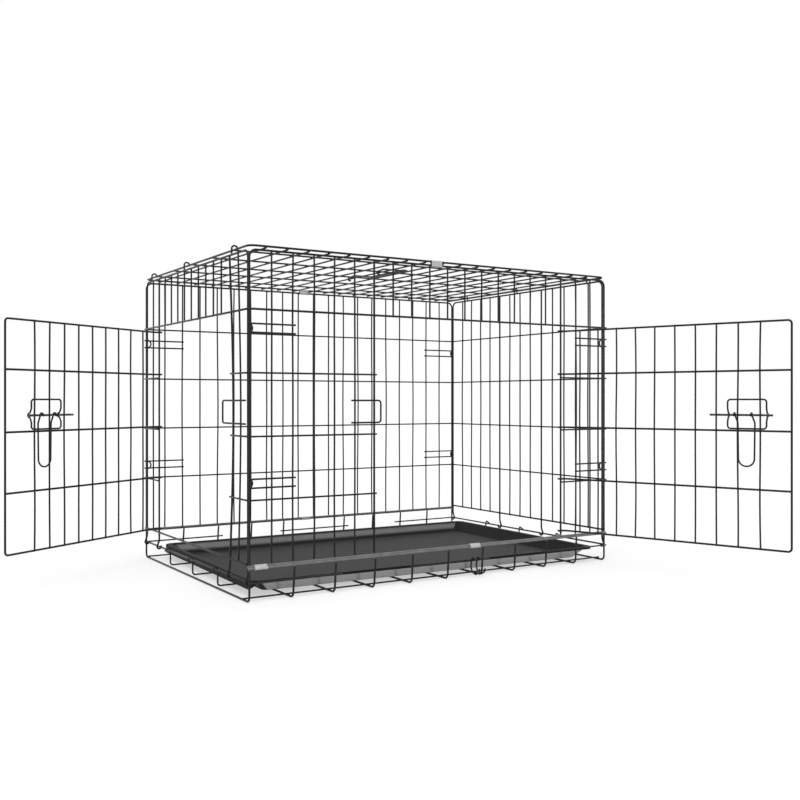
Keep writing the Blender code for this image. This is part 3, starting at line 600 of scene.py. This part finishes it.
# Each end wall's side, inner wires with a foot, whether it has a doorway, sprung wires, body and seed.
end_walls = (
    ("left_end", -1, LEFT_JAMBS, True, LEFT_SPRINGS, "cage", 41),
    ("right_end", 1, RIGHT_FEET, False, {}, "right_end", 43),
)
for name, side, curled, doorway, springs, body, seed in end_walls:
    end_draws = np.random.default_rng(seed)
    end = wire_piece(name + "_wires", end_wall(side, curled, doorway, springs, end_draws), end_draws)
    end.data.materials.append(black_coat(name + "_coat"))
    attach(end, body)
    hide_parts(name + "_panel")


# Roof: a closed rim of thick wire with five thin wires along and twenty across, under the rim.
# Small hooks welded on the end rails snap over the end walls and hold them upright.

CATCH_R = 0.0050
CATCH_TAIL = 0.0085
CATCH_CENTRE = (0.0016, 0.0010)
CATCH_FOOT = (-0.0012, -0.0004)
# The catches count pitches of the depth, and the lengthwise wires sixteenths of it.
CATCH_PLACES = (1.5, 7.5, 12.5)
LENGTHWISE = (2, 5, 8, 11, 14)
DEPTH_PARTS = 16
CROSS_SHIFT = 0.72
CARRY_WIRE = 8
ROOF_WEAVE = 0.0008


def catch_hook(side, y):
    """A short foot on the rail, most of a half circle outwards, and a tail down outside the end wall."""
    across = np.array([side, 0, 0])
    rail = np.array([side * HALF_X, y, ROOF_Z])
    centre = rail + across * CATCH_CENTRE[0] + UP * CATCH_CENTRE[1]
    foot = rail + across * CATCH_FOOT[0] + UP * CATCH_FOOT[1]
    ring = turn(centre, CATCH_R, 190, 0, across, UP, 16)
    tail = centre + across * CATCH_R - UP * CATCH_TAIL
    return (np.concatenate([[foot], ring, [tail]]), THIN, False)


roof_draws = np.random.default_rng(53)
rim = [(-HALF_X, -HALF_Y, ROOF_Z), (HALF_X, -HALF_Y, ROOF_Z),
       (HALF_X, HALF_Y, ROOF_Z), (-HALF_X, HALF_Y, ROOF_Z)]
roof_wires = [(bent(rim, CORNER_R, True), THICK, True)]
for part in LENGTHWISE:
    y = -HALF_Y + 2 * HALF_Y * part / DEPTH_PARTS
    roof_wires.append(([(-HALF_X, y, ROOF_Z), (HALF_X, y, ROOF_Z)], THIN, False))
for count in range(COUNT_X):
    x = along_x(count + CROSS_SHIFT)
    reach = HALF_Y + STUB
    # The wire that the carry handle turns on stays straight.
    weave = 0 if count == CARRY_WIRE else ROOF_WEAVE
    ends = slack((x, -reach, ROOF_Z - CROSS), (x, reach, ROOF_Z - CROSS), (1, 0, 0), weave, roof_draws)
    roof_wires.append((ends, THIN, False))
for side in (-1, 1):
    for at in CATCH_PLACES:
        roof_wires.append(catch_hook(side, -HALF_Y + PITCH_Y * at))
roof = wire_piece("roof_wires", roof_wires, roof_draws)
roof.data.materials.append(black_coat("roof_coat", 0.28, 0.8, 0.3))
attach(roof, "cage")
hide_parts("roof_panel")


# Doors: a thick wire makes each door's outline, and its two ends are curled loosely round the hinge jamb.
# Three more thick rails do the same, and thin wires are welded on the inner side.
# They are drawn as distances from the hinge, outwards and up, and laid along the open door.

DOOR_OFF = 0.0072
DOOR_RAILS = (0.0681, 0.1682, 0.2677, 0.3702, 0.4530)
DOOR_MESH_OFF = DOOR_OFF - CROSS
DOOR_EYE = 0.0044
DOOR_BEND = 0.006


class Leaf:
    """A door: where its hinge stands, and the directions along it and outwards from it."""

    def __init__(self, hinge, along, outward):
        self.hinge = np.array([*hinge, 0.0])
        self.axes = np.array([[*along, 0.0], [*outward, 0.0], [0.0, 0.0, 1.0]])

    def lay(self, path):
        """Door coordinates to the room: the hinge plus the path times the door's directions."""
        return self.hinge + np.asarray(path, float) @ self.axes


def turned(angle, direction):
    """A horizontal direction turned about the vertical by an angle in degrees."""
    c = math.cos(math.radians(angle))
    s = math.sin(math.radians(angle))
    return (c * direction[0] - s * direction[1], s * direction[0] + c * direction[1])


def rail_foot(z):
    """The stretch of a door rail next to the hinge: it eases inwards and curls round the jamb."""
    lead = np.array([[0.020, DOOR_OFF, z], [0.0145, DOOR_OFF - 0.0003, z], [0.009, DOOR_OFF - 0.0010, z],
                     [0.0045, DOOR_OFF - 0.0021, z]])
    return np.concatenate([lead, turn((0, 0, z), DOOR_EYE, 100, -158, (1, 0, 0), (0, 1, 0), 20)])


def door_leaf(leaf, width, first, step, count, draws):
    """All wires of a door: its outline, three more rails, and thin wires one step apart from the first."""
    top = rail_foot(DOOR_RAILS[4])
    bottom = rail_foot(DOOR_RAILS[0])
    corners = [(width, DOOR_OFF, DOOR_RAILS[4]), (width, DOOR_OFF, DOOR_RAILS[0])]
    edge = bent([top[0], *corners, bottom[0]], DOOR_BEND)
    made = [(leaf.lay(np.concatenate([top[:0:-1], edge, bottom[1:]])), THICK, False)]
    for z in DOOR_RAILS[1:4]:
        made.append((leaf.lay(np.concatenate([[(width - TRIM, DOOR_OFF, z)], rail_foot(z)])), THICK, False))
    for i in range(count):
        s = first + step * i
        low = (s, DOOR_MESH_OFF, DOOR_RAILS[0] - TRIM)
        high = (s, DOOR_MESH_OFF, DOOR_RAILS[4] + TRIM)
        made.append((leaf.lay(slack(low, high, (1, 0, 0), WEAVE, draws)), THIN, False))
    return made


JAMB_FRONT = PITCH_X * (FRONT_JAMBS[1] - FRONT_JAMBS[0])
JAMB_LEFT = END_PITCH * (LEFT_JAMBS[1] - LEFT_JAMBS[0])
FRONT_OPEN = 109.06
LEFT_OPEN = -57.46
# Each door's width, the place of its first thin wire, the step to the next, and how many there are.
FRONT_MESH = (11.29 * PITCH_X, 1.035 * PITCH_X, 0.9934 * PITCH_X, 10)
LEFT_MESH = (9.92 * PITCH_Y, 1.15 * PITCH_Y, 0.90 * PITCH_Y, 9)
front_hinge = (along_x(FRONT_JAMBS[1]), -HALF_Y)
left_hinge = (-HALF_X, along_y(LEFT_JAMBS[1]))
front_leaf = Leaf(front_hinge, turned(FRONT_OPEN, (-1, 0)), turned(FRONT_OPEN, (0, -1)))
left_leaf = Leaf(left_hinge, turned(LEFT_OPEN, (0, -1)), turned(LEFT_OPEN, (-1, 0)))
front_shut = Leaf(front_hinge, (-1, 0), (0, -1))
left_shut = Leaf(left_hinge, (0, -1), (-1, 0))

door_draws = np.random.default_rng(61)
for name, leaf, sizes in (("front_door", front_leaf, FRONT_MESH), ("left_door", left_leaf, LEFT_MESH)):
    door = wire_piece(name + "_wires", door_leaf(leaf, *sizes, door_draws), door_draws)
    door.data.materials.append(black_coat(name + "_coat"))
    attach(door, name)
    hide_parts(name)


# Slide-bolt latches: a round bolt with a cranked tip slides through a wire bracket that arches over it.
# A pull of bent wire hangs from the bolt by an eye at each end, and the tip slides behind a flat keeper loop.
# Each piece is cold-bent from wire and coated black, and the bolt's coat is rubbed through to grey steel.

BOLT = 0.0019
BOLT_Z = 0.2945
BOLT_OFF = 0.0114
BOLT_LENGTH = 0.112
TIP_INSET = 0.0170
CRANK = (0.0170, 0.0100)
CRANK_BENDS = [0, 0.0045, 0.0035, 0]
PULL_EYE = BOLT + 0.0002 + THIN
PULL_LEGS = (0.052, 0.081)
PULL_STEP = 0.0046
PULL_TAPER = 0.0010
PULL_DROPS = (0.0015, 0.0135, 0.088)
PULL_BENDS = [0, 0.010, 0.0133, 0.0133, 0.010, 0]
BRACKET_LEGS = (0.030, 0.0960)
BRACKET_LOW = DOOR_RAILS[2] + 0.0036
BRACKET_HIGH = 0.3212
BRACKET_ARCH = 0.0115
KEEPER_OFF = 0.0036
KEEPER_LOW = 0.2822
KEEPER_HIGH = 0.3195
LATCH_BEND = 0.005
OUTWARD = (0, 1, 0)


def bolt_wires(leaf, edge):
    """The bolt: straight along the door, then cranked inwards to its tip."""
    tip = edge - TIP_INSET
    path = [(tip - BOLT_LENGTH, BOLT_OFF, BOLT_Z), (tip - CRANK[0], BOLT_OFF, BOLT_Z),
            (tip - CRANK[1], 0, BOLT_Z), (tip, 0, BOLT_Z)]
    return [(leaf.lay(bent(path, CRANK_BENDS)), BOLT, False)]


def pull_wires(leaf, edge):
    """The pull: an eye on the bolt, a leg that steps sideways and drops, a round bottom, and back up."""
    near, far = [edge - leg for leg in PULL_LEGS]
    top, bend, low = [BOLT_Z - drop for drop in PULL_DROPS]
    out = BOLT_OFF + PULL_EYE
    eye_near = turn((near - PULL_STEP, BOLT_OFF, BOLT_Z), PULL_EYE, 215, 0, OUTWARD, UP, 18)
    eye_far = turn((far - PULL_STEP, BOLT_OFF, BOLT_Z), PULL_EYE, 0, 215, OUTWARD, UP, 18)
    corners = [(near - PULL_STEP, out, top), (near, out, bend), (near - PULL_TAPER, out, low),
               (far + PULL_TAPER, out, low), (far, out, bend), (far - PULL_STEP, out, top)]
    loop = bent(corners, PULL_BENDS, False, 12)
    return [(leaf.lay(np.concatenate([eye_near, loop, eye_far])), THIN, False)]


def bracket_wires(leaf, edge):
    """The bracket: a rounded rectangle of wire whose two upright sides arch round the bolt."""
    near, far = [edge - leg for leg in BRACKET_LEGS]
    rise = turn((near, BOLT_OFF, BOLT_Z), PULL_EYE, -100, 100, OUTWARD, UP, 16)
    drop = turn((far, BOLT_OFF, BOLT_Z), PULL_EYE, 100, -100, OUTWARD, UP, 16)
    over = BOLT_Z + BRACKET_ARCH
    under = BOLT_Z - BRACKET_ARCH
    upper = [(near, over), (near, BRACKET_HIGH), (far, BRACKET_HIGH), (far, over)]
    lower = [(far, under), (far, BRACKET_LOW), (near, BRACKET_LOW), (near, under)]
    top, bottom = [bent([(s, DOOR_OFF, z) for s, z in half], LATCH_BEND) for half in (upper, lower)]
    return [(leaf.lay(np.concatenate([rise, top, drop, bottom])), THIN, True)]


def keeper_wires(leaf, jamb, reach, tail):
    """The keeper: a flat U of wire across the jamb, its closed end standing into the doorway."""
    bar = jamb - reach
    end = jamb + tail
    corners = [(end, KEEPER_HIGH), (bar, KEEPER_HIGH), (bar, KEEPER_LOW), (end, KEEPER_LOW)]
    path = bent([(s, KEEPER_OFF, z) for s, z in corners], LATCH_BEND)
    return [(leaf.lay(path), THIN, False)]


BOLT_BLACK = (0.009, 0.009, 0.010, 1)
BARE_STEEL = (0.17, 0.17, 0.165, 1)


def rubbed_bolt(name):
    """The black coat, rubbed through to dull grey steel in patches along the bolt."""
    made, shader, start, place = finish_of(name, 0.34)
    streaks = noise(start, place, 210.0, 4.0, 0.7)
    fine = noise(start, place, 1700.0)
    bare = ramp(start, streaks, 0.52, 0.66)
    feed(shader, "Base Color", blend_colours(start, bare, BOLT_BLACK, BARE_STEEL))
    feed(shader, "Metallic", bare * 0.55)
    feed(shader, "Roughness", 0.30 + streaks * 0.18)
    bumped(start, shader, fine, 0.2, 0.0002)
    return made


latch_coat = black_coat("latch_coat", 0.27, 0.3, 0.45)
# Each door's latch: its open and shut leaf, the far jamb, the bolt's inset, the keeper's reach and tail.
latches = (
    ("front", front_leaf, front_shut, JAMB_FRONT, 0.0, 0.011, 0.0464),
    ("left", left_leaf, left_shut, JAMB_LEFT, 0.015, 0.021, 0.0745),
)
for door, leaf, shut, jamb, inset, reach, tail in latches:
    edge = jamb - inset
    latch_pieces = (
        ("_bolt", bolt_wires(leaf, edge), door + "_bolt", "_bolt", rubbed_bolt(door + "_bolt_coat")),
        ("_pull", pull_wires(leaf, edge), door + "_pull", "_bolt_handle", latch_coat),
        ("_bracket", bracket_wires(leaf, edge), door + "_door", "_bolt_bracket", latch_coat),
        ("_keeper_loop", keeper_wires(shut, jamb, reach, tail), "cage", "_keeper", latch_coat),
    )
    for name, wires, body, node, coat in latch_pieces:
        piece = wire_piece(door + name + "_wire", wires)
        piece.data.materials.append(coat)
        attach(piece, body)
        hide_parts(door + node)


# Tray: one sheet of textured black plastic, vacuum-formed with sloping walls, a rolled rim and a short hem.
# It lies loose on the floor wires, and slides in and out under the front rail.
# The long walls are painted pale outside and in a band inside, a painted sheen for the light they reflect,
# and a haze of fine scratches runs over the floor.

TRAY_BOTTOM = 0.0064
TRAY_RIM = 0.0282
TRAY_SHEET = 0.0020
TRAY_HALF_X = 0.364
TRAY_HALF_Y = 0.238
TRAY_TURN = math.radians(-1.5)
TRAY_SHIFT = (0.007, -0.004)


def tray_outline(inset_x, inset_y, corner, around):
    """A round-cornered rectangle drawn in by the insets, and how squarely each point faces left."""
    quarter = around // 4
    angle = np.radians(np.linspace(0, 90, quarter))
    turns = []
    ends = []
    for k, (sx, sy) in enumerate(((1, 1), (-1, 1), (-1, -1), (1, -1))):
        centre_x = sx * (TRAY_HALF_X - inset_x - corner)
        centre_y = sy * (TRAY_HALF_Y - inset_y - corner)
        swept = angle + math.pi / 2 * k
        across = centre_x + corner * np.cos(swept)
        turns.append(np.stack([across, centre_y + corner * np.sin(swept)], axis=-1))
        ends.append(np.clip(-np.cos(swept), 0, 1) ** 2)
    return np.concatenate(turns), np.concatenate(ends)


def tray_skin(profile, around=80):
    """Outlines by the profile's rows of insets, height, corner radius and drop, turned and shifted."""
    rows = []
    for inset_x, inset_y, z, corner, drop in profile:
        outline, ends = tray_outline(inset_x, inset_y, corner, around)
        rows.append(np.column_stack([outline, z - drop * ends]))
    points = np.concatenate(rows)
    cos = math.cos(TRAY_TURN)
    sin = math.sin(TRAY_TURN)
    points[:, :2] = points[:, :2] @ np.array([[cos, sin], [-sin, cos]]) + TRAY_SHIFT
    return points, [ring_faces(len(rows), around), *end_caps(len(rows), around)]


hem = TRAY_RIM - 0.0045
under = TRAY_RIM - TRAY_SHEET
skirt = 0.0115
# Each row: insets along X and Y, height, corner radius, drop at the left end, and the bend's radius.
tray_corners = [
    (0.120, 0.100, TRAY_BOTTOM, 0.0080, 0.0, 0.0),
    (0.030, 0.025, TRAY_BOTTOM, 0.0100, 0.0, 0.0050),
    (0.0078, 0.0078, under, 0.0130, 0.0, 0.0014),
    (0.0020, 0.0020, under, 0.0160, 0.0, 0.0008),
    (0.0020, 0.0020, hem, 0.0160, skirt, 0.0004),
    (0.0, 0.0, hem, 0.0180, skirt, 0.0004),
    (0.0, 0.0, TRAY_RIM, 0.0180, 0.0, 0.0017),
    (0.0090, 0.0090, TRAY_RIM, 0.0120, 0.0, 0.0030),
    (0.0305, 0.0255, TRAY_BOTTOM + TRAY_SHEET, 0.0095, 0.0, 0.0050),
    (0.120, 0.100, TRAY_BOTTOM + TRAY_SHEET, 0.0080, 0.0, 0.0),
]
tray_profile = bent([c[:5] for c in tray_corners], [c[5] for c in tray_corners], False, 6)
tray = mesh_piece("tray_shell", [tray_skin(tray_profile)])


TRAY_BLACK = (0.0050, 0.0050, 0.0054, 1)
TRAY_HAZE = (0.015, 0.015, 0.016, 1)
# Painted sheen: the pale long-wall colours stand in for the light those walls reflect, outside and in a band
# inside.
TRAY_INNER_SHEEN = (0.230, 0.230, 0.232, 1)
TRAY_OUTER_SHEEN = (0.860, 0.860, 0.862, 1)
INNER_SHEEN_BAND = ((0.0125, 0.0175), (0.0265, 0.0235))


def tray_plastic(name):
    """Pebbled black plastic: long walls with a painted sheen, pale outside and in a band inside, and a
    scratched floor.
    """
    made, shader, start, place = finish_of(name, 0.5)
    pebble = start.node("ShaderNodeTexVoronoi", {"feature": "SMOOTH_F1"},
                        {"Vector": place, "Scale": 620.0}, "Distance")
    cloud = noise(start, place, 9.0, 4.0, 0.6)
    speck = noise(start, place, 640.0, 3.0, 0.7)
    patch = noise(start, place, 38.0, 3.0, 0.6)
    stretched = start.node("ShaderNodeMapping", {}, {"Vector": place, "Scale": (14.0, 260.0, 60.0)})
    scratch = noise(start, stretched, 1.0, 3.0, 0.65)
    tilt_y = facing(start, "Y")
    tilt_z = facing(start, "Z")
    across = ramp(start, tilt_y * tilt_y, 0.34, 0.56)
    outside = across * ramp(start, tilt_z, -0.20, -0.45)
    inside = across * ramp(start, tilt_z, 0.45, 0.60)
    # Painted sheen: the long walls are painted pale outside, and in a band of height inside, for the light
    # they reflect.
    inner_sheen_band = between(start, axis_part(start, place, "Z"), *INNER_SHEEN_BAND)
    painted_outer_sheen = outside * (0.62 + ramp(start, speck, 0.35, 0.70) * 0.38)
    painted_inner_sheen = inside * inner_sheen_band * (0.60 + patch * 0.40)
    floor_part = ramp(start, tilt_z, 0.97, 0.999)
    hazed = floor_part * (0.30 + ramp(start, scratch, 0.45, 0.75) * 0.40 + cloud * 0.30)
    black = blend_colours(start, hazed, TRAY_BLACK, TRAY_HAZE)
    with_inner_sheen = blend_colours(start, painted_inner_sheen, black, TRAY_INNER_SHEEN)
    feed(shader, "Base Color", blend_colours(start, painted_outer_sheen, with_inner_sheen, TRAY_OUTER_SHEEN))
    feed(shader, "Roughness", 0.50 + speck * 0.14 + scratch * 0.08)
    feed(shader, "Coat Weight", outside * (0.6 + speck * 0.4))
    shader.inputs["Specular IOR Level"].default_value = 0.15
    shader.inputs["Coat Roughness"].default_value = 0.25
    shader.inputs["Coat IOR"].default_value = 2.6
    bumped(start, shader, pebble + speck * 0.5, 0.35, 0.0004)
    return made


tray.data.materials.append(tray_plastic("tray_plastic"))
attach(tray, "cage")
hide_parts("tray")


# Carry handle: two bent steel rods hook round one cross wire of the roof and end in a moulded oval grip.
# The grip is moulded over the rods and waisted behind each end; it lies on the roof and swings up.

CARRY_X = along_x(CARRY_WIRE + CROSS_SHIFT)
CARRY_Z = ROOF_Z - CROSS
CARRY_ROD = 0.0016
CARRY_RING = THIN + RUNNING_GAP + CARRY_ROD
CARRY_KNEE = 0.0100
CARRY_BEND = 0.008
CARRY_REACH = 0.0560
CARRY_ENDS = (-HALF_Y + 0.1575, -HALF_Y + 0.2700)
GRIP_HALF_X = 0.0075
GRIP_HALF_Z = 0.0027
GRIP_END = 0.0060
GRIP_ROUND = 0.0035
WAIST_DEPTH = 0.16
WAIST_PLACE = 0.0160
WAIST_WIDTH = 0.0045
CARRY_RISE = CROSS + THIN + 0.0003 + GRIP_HALF_Z


def carry_rod(y):
    """Most of a turn round the roof wire, then up and straight out to the grip."""
    ring = turn((0, 0, 0), CARRY_RING, -50, -285, (1, 0, 0), UP, 20)
    shank = bent([ring[-1], (CARRY_KNEE, 0, CARRY_RISE), (CARRY_REACH, 0, CARRY_RISE)], CARRY_BEND)
    path = np.concatenate([ring, shank[1:]]) + np.array([CARRY_X, y, CARRY_Z])
    return drawn_wire(path, CARRY_ROD)


def moulded_grip(stations=44, around=20):
    """At each station along Y a flattened oval, fullest in the middle and waisted behind each end."""
    share = np.linspace(0, 1, stations)
    low = CARRY_ENDS[0] - GRIP_END
    high = CARRY_ENDS[1] + GRIP_END
    y = low + (high - low) * share
    from_end = np.minimum(share, 1 - share) * (high - low)
    rounding = np.sqrt(np.clip(1 - (1 - np.clip(from_end / GRIP_ROUND, 0, 1)) ** 2, 0.05, 1))
    waist = 1 - WAIST_DEPTH * np.exp(-((from_end - WAIST_PLACE) / WAIST_WIDTH) ** 2)
    crown = 1 - 0.07 * (2 * share - 1) ** 2
    angle = np.linspace(0, 2 * math.pi, around, endpoint=False)
    round_x, round_z = [np.sign(wave) * np.abs(wave) ** 0.8 for wave in (np.cos(angle), np.sin(angle))]
    x = CARRY_X + CARRY_REACH + GRIP_HALF_X * (rounding * waist * crown)[:, None] * round_x
    z = CARRY_Z + CARRY_RISE + GRIP_HALF_Z * (rounding * crown)[:, None] * round_z
    points = np.stack([x, np.broadcast_to(y[:, None], x.shape), z], axis=-1).reshape(-1, 3)
    skin = ring_faces(stations, around)[:, TURNED_OVER]
    caps = [cap[:, ::-1] for cap in end_caps(stations, around)]
    return points, [skin, *caps]


GRIP_DARK = (0.007, 0.007, 0.008, 1)
GRIP_SHINE = (0.018, 0.018, 0.018, 1)


def handle_plastic(name):
    """Satin black moulding with a fine spark-eroded grain and faint handling shine."""
    made, shader, start, place = finish_of(name, 0.42)
    grain = noise(start, place, 1300.0, 3.0, 0.6)
    shine = noise(start, place, 45.0)
    feed(shader, "Base Color", blend_colours(start, shine, GRIP_DARK, GRIP_SHINE))
    feed(shader, "Roughness", 0.34 + shine * 0.2 + grain * 0.06)
    bumped(start, shader, grain, 0.3, 0.0003)
    return made


handle_parts = [carry_rod(CARRY_ENDS[0]), carry_rod(CARRY_ENDS[1]), moulded_grip()]
carry_handle = mesh_piece("carry_handle_moulding", handle_parts)
carry_handle.data.materials.append(handle_plastic("handle_plastic"))
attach(carry_handle, "carry_handle")
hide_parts("carry_handle")


# Tray hooks: two bent wires hang by an eye from the base's front middle rail, each with a curled foot.
# They swing out of the way so that the tray can slide out under the rail.

HOOK_PLACES = {"tray_hook_left": 11.42, "tray_hook_right": 11.74}
HOOK_EYE = 2 * THIN + RUNNING_GAP
HOOK_BEND = 0.004


def tray_hook(count):
    """An open eye over the rail, a shank that bows inwards below it, and a foot that swings forwards."""
    eye = turn((0, 0, 0), HOOK_EYE, 220, 0, (0, 1, 0), UP, 18)
    knee = (-0.0010, 0.0052, -0.0120)
    ankle = (-0.0005, 0.0030, -0.0200)
    sole = (0.0010, -0.0060, -0.0268)
    toe = (0.0030, -0.0150, -0.0215)
    tip = (0.0040, -0.0150, -0.0150)
    foot = bent([eye[-1], knee, ankle, sole, toe, tip], HOOK_BEND, False, 6)
    place = np.array([along_x(count), -HALF_Y - CROSS, MID_RAIL_Z])
    return [(np.concatenate([eye, foot[1:]]) + place, THIN, False)]


hook_coat = black_coat("tray_hook_coat", 0.27, 0.3, 0.4)
for name, count in HOOK_PLACES.items():
    hook = wire_piece(name + "_wire", tray_hook(count))
    hook.data.materials.append(hook_coat)
    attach(hook, name)
    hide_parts(name)


# Hinge sleeves: short strips of zinc-plated steel wrapped round the two rails that turn in them.
# Each is crimped in a press, which pinches its waist and flares its ends a little.

SLEEVE_HALF = 0.0110
SLEEVE_INNER = THICK + 0.00035
SLEEVE_SHEET = 0.0008
SLEEVE_PINCH = 0.00055
SLEEVE_FLARE = 0.00022


def sleeve_skin(x, low, high, stations=15, around=40):
    """Flattened tube round two rails, given by Y and Z: two half circles and sides that dip inwards."""
    low = np.array(low)
    gap = np.array(high) - low
    rise = gap / np.linalg.norm(gap)
    across = np.array([rise[1], -rise[0]])
    half = around // 2
    angle = np.linspace(0, math.pi, half - 4)
    side = np.linspace(0, 1, 6)[1:-1]
    share = np.linspace(-1, 1, stations)
    pinch = SLEEVE_PINCH * (1 - share ** 4)
    flare = SLEEVE_FLARE * (share ** 6 - 1)
    rings = []
    for sheet in (SLEEVE_SHEET, 0.0):
        for k in (range(stations) if sheet else range(stations - 1, -1, -1)):
            radius = SLEEVE_INNER + sheet + flare[k] * (1 if sheet else 0)
            curve = radius * (np.outer(np.cos(angle), across) + np.outer(np.sin(angle), rise))
            dip = np.outer(radius - pinch[k] * np.sin(math.pi * side), across)
            left = low + np.outer(1 - side, gap) - dip
            right = low + np.outer(side, gap) + dip
            ring = np.concatenate([low + gap + curve, left, low - curve, right])
            rings.append(np.column_stack([np.full(len(ring), x + SLEEVE_HALF * share[k]), ring]))
    return np.concatenate(rings), [ring_faces(len(rings), len(rings[0]), True)]


ZINC_DULL = (0.30, 0.30, 0.295, 1)
ZINC_BRIGHT = (0.66, 0.66, 0.65, 1)


def zinc_steel(name):
    """Zinc plating: brushed along the sleeve, with cloudy brighter and duller patches."""
    made, shader, start, place = finish_of(name, 0.32)
    along = start.node("ShaderNodeMapping", {}, {"Vector": place, "Scale": (60.0, 1400.0, 1400.0)})
    brushed = noise(start, along, 1.0, 3.0, 0.6)
    cloud = noise(start, place, 260.0, 3.0)
    feed(shader, "Base Color", blend_colours(start, cloud, ZINC_DULL, ZINC_BRIGHT))
    feed(shader, "Roughness", 0.24 + cloud * 0.18 + brushed * 0.08)
    shader.inputs["Metallic"].default_value = 1.0
    bumped(start, shader, brushed, 0.25, 0.0002)
    return made


sleeve_zinc = zinc_steel("sleeve_zinc")
# Each sleeve's node, its place along the wall in pitches, its side, and whether it holds the roof.
sleeve_places = (
    ("roof_sleeve_front", 9.36, -1, True),
    ("roof_sleeve_back", 9.36, 1, True),
    ("base_sleeve_front_left", 0.5, -1, False),
    ("base_sleeve_front_right", 11.55, -1, False),
    ("base_sleeve_back", 9.5, 1, False),
)
for name, count, side, roofed in sleeve_places:
    wall = side * HALF_Y
    low = (wall, WALL_TOP) if roofed else (wall + side * CROSS, BASE_TOP)
    high = (wall, ROOF_Z) if roofed else (wall, FOOT_RAIL)
    sleeve = mesh_piece(name + "_crimp", [sleeve_skin(along_x(count), low, high)])
    sleeve.data.materials.append(sleeve_zinc)
    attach(sleeve, "cage")
    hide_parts(name)


# Studio: a white floor and surround, two wide soft suns, and the camera level with the cage's middle.
# The floor shows white to the camera and keeps a faint shadow of the cage.

def direct_rays(start):
    """1 for what the camera sees, straight, mirrored or through something clear, and 0 for light."""
    kinds = ("Is Camera Ray", "Is Glossy Ray", "Is Transmission Ray")
    seen, mirrored, through = [start.node("ShaderNodeLightPath", {}, {}, kind) for kind in kinds]
    return seen + mirrored + through


SPREAD = 9.0
FLOOR_LEVEL = -0.0002
SURROUND_LIGHT = 0.62

floor_mesh = bpy.data.meshes.new("studio_floor")
floor_corners = [(SPREAD * x, SPREAD * y, FLOOR_LEVEL) for x, y in ((-1, -1), (1, -1), (1, 1), (-1, 1))]
floor_mesh.from_pydata(floor_corners, [], [(0, 1, 2, 3)])
floor = linked("studio_floor", floor_mesh)
floor_paint, floor_shader, floor_start, _ = finish_of("studio_white", 0.9)
floor_shader.inputs["Base Color"].default_value = (0.50, 0.50, 0.50, 1)
floor_shader.inputs["Specular IOR Level"].default_value = 0.0
shown = blend_colours(floor_start, direct_rays(floor_start), (0, 0, 0, 1), (0.53, 0.53, 0.53, 1))
feed(floor_shader, "Emission Color", shown)
floor_shader.inputs["Emission Strength"].default_value = 1.0
floor.data.materials.append(floor_paint)

world = bpy.data.worlds.new("studio_surround")
bpy.context.scene.world = world
world.use_nodes = True
world.node_tree.nodes.clear()
world_start = Shade(world.node_tree)
plain = world_start.node("ShaderNodeMapRange", {"clamp": True},
                         {"Value": direct_rays(world_start), "To Min": SURROUND_LIGHT, "To Max": 1.0})
sky = world_start.node("ShaderNodeBackground", {}, {"Color": (1, 1, 1, 1), "Strength": plain})
feed(world.node_tree.nodes.new("ShaderNodeOutputWorld"), "Surface", sky)


def soft_sun(name, towards, strength, angle):
    """A wide soft lamp far away in the given direction, even over the whole floor."""
    made = bpy.data.lights.new(name, "SUN")
    made.energy = strength
    made.angle = math.radians(angle)
    lamp = linked(name, made)
    lamp.rotation_euler = mathutils.Vector(towards).to_track_quat("Z", "Y").to_euler()


soft_sun("key_light", (-0.55, -0.75, 1.1), 1.25, 50)
soft_sun("back_light", (0.8, 0.5, 1.0), 0.45, 60)

camera_data = bpy.data.cameras.new("photo_camera")
camera_data.lens = 43.16
camera_data.sensor_width = 36.0
camera = linked("photo_camera", camera_data)
camera.location = (-0.9815, -1.6658, 0.3202)
camera.rotation_euler = (math.radians(90), 0, math.radians(-32.13))
bpy.context.scene.camera = camera
bpy.context.scene.view_settings.view_transform = "Standard"
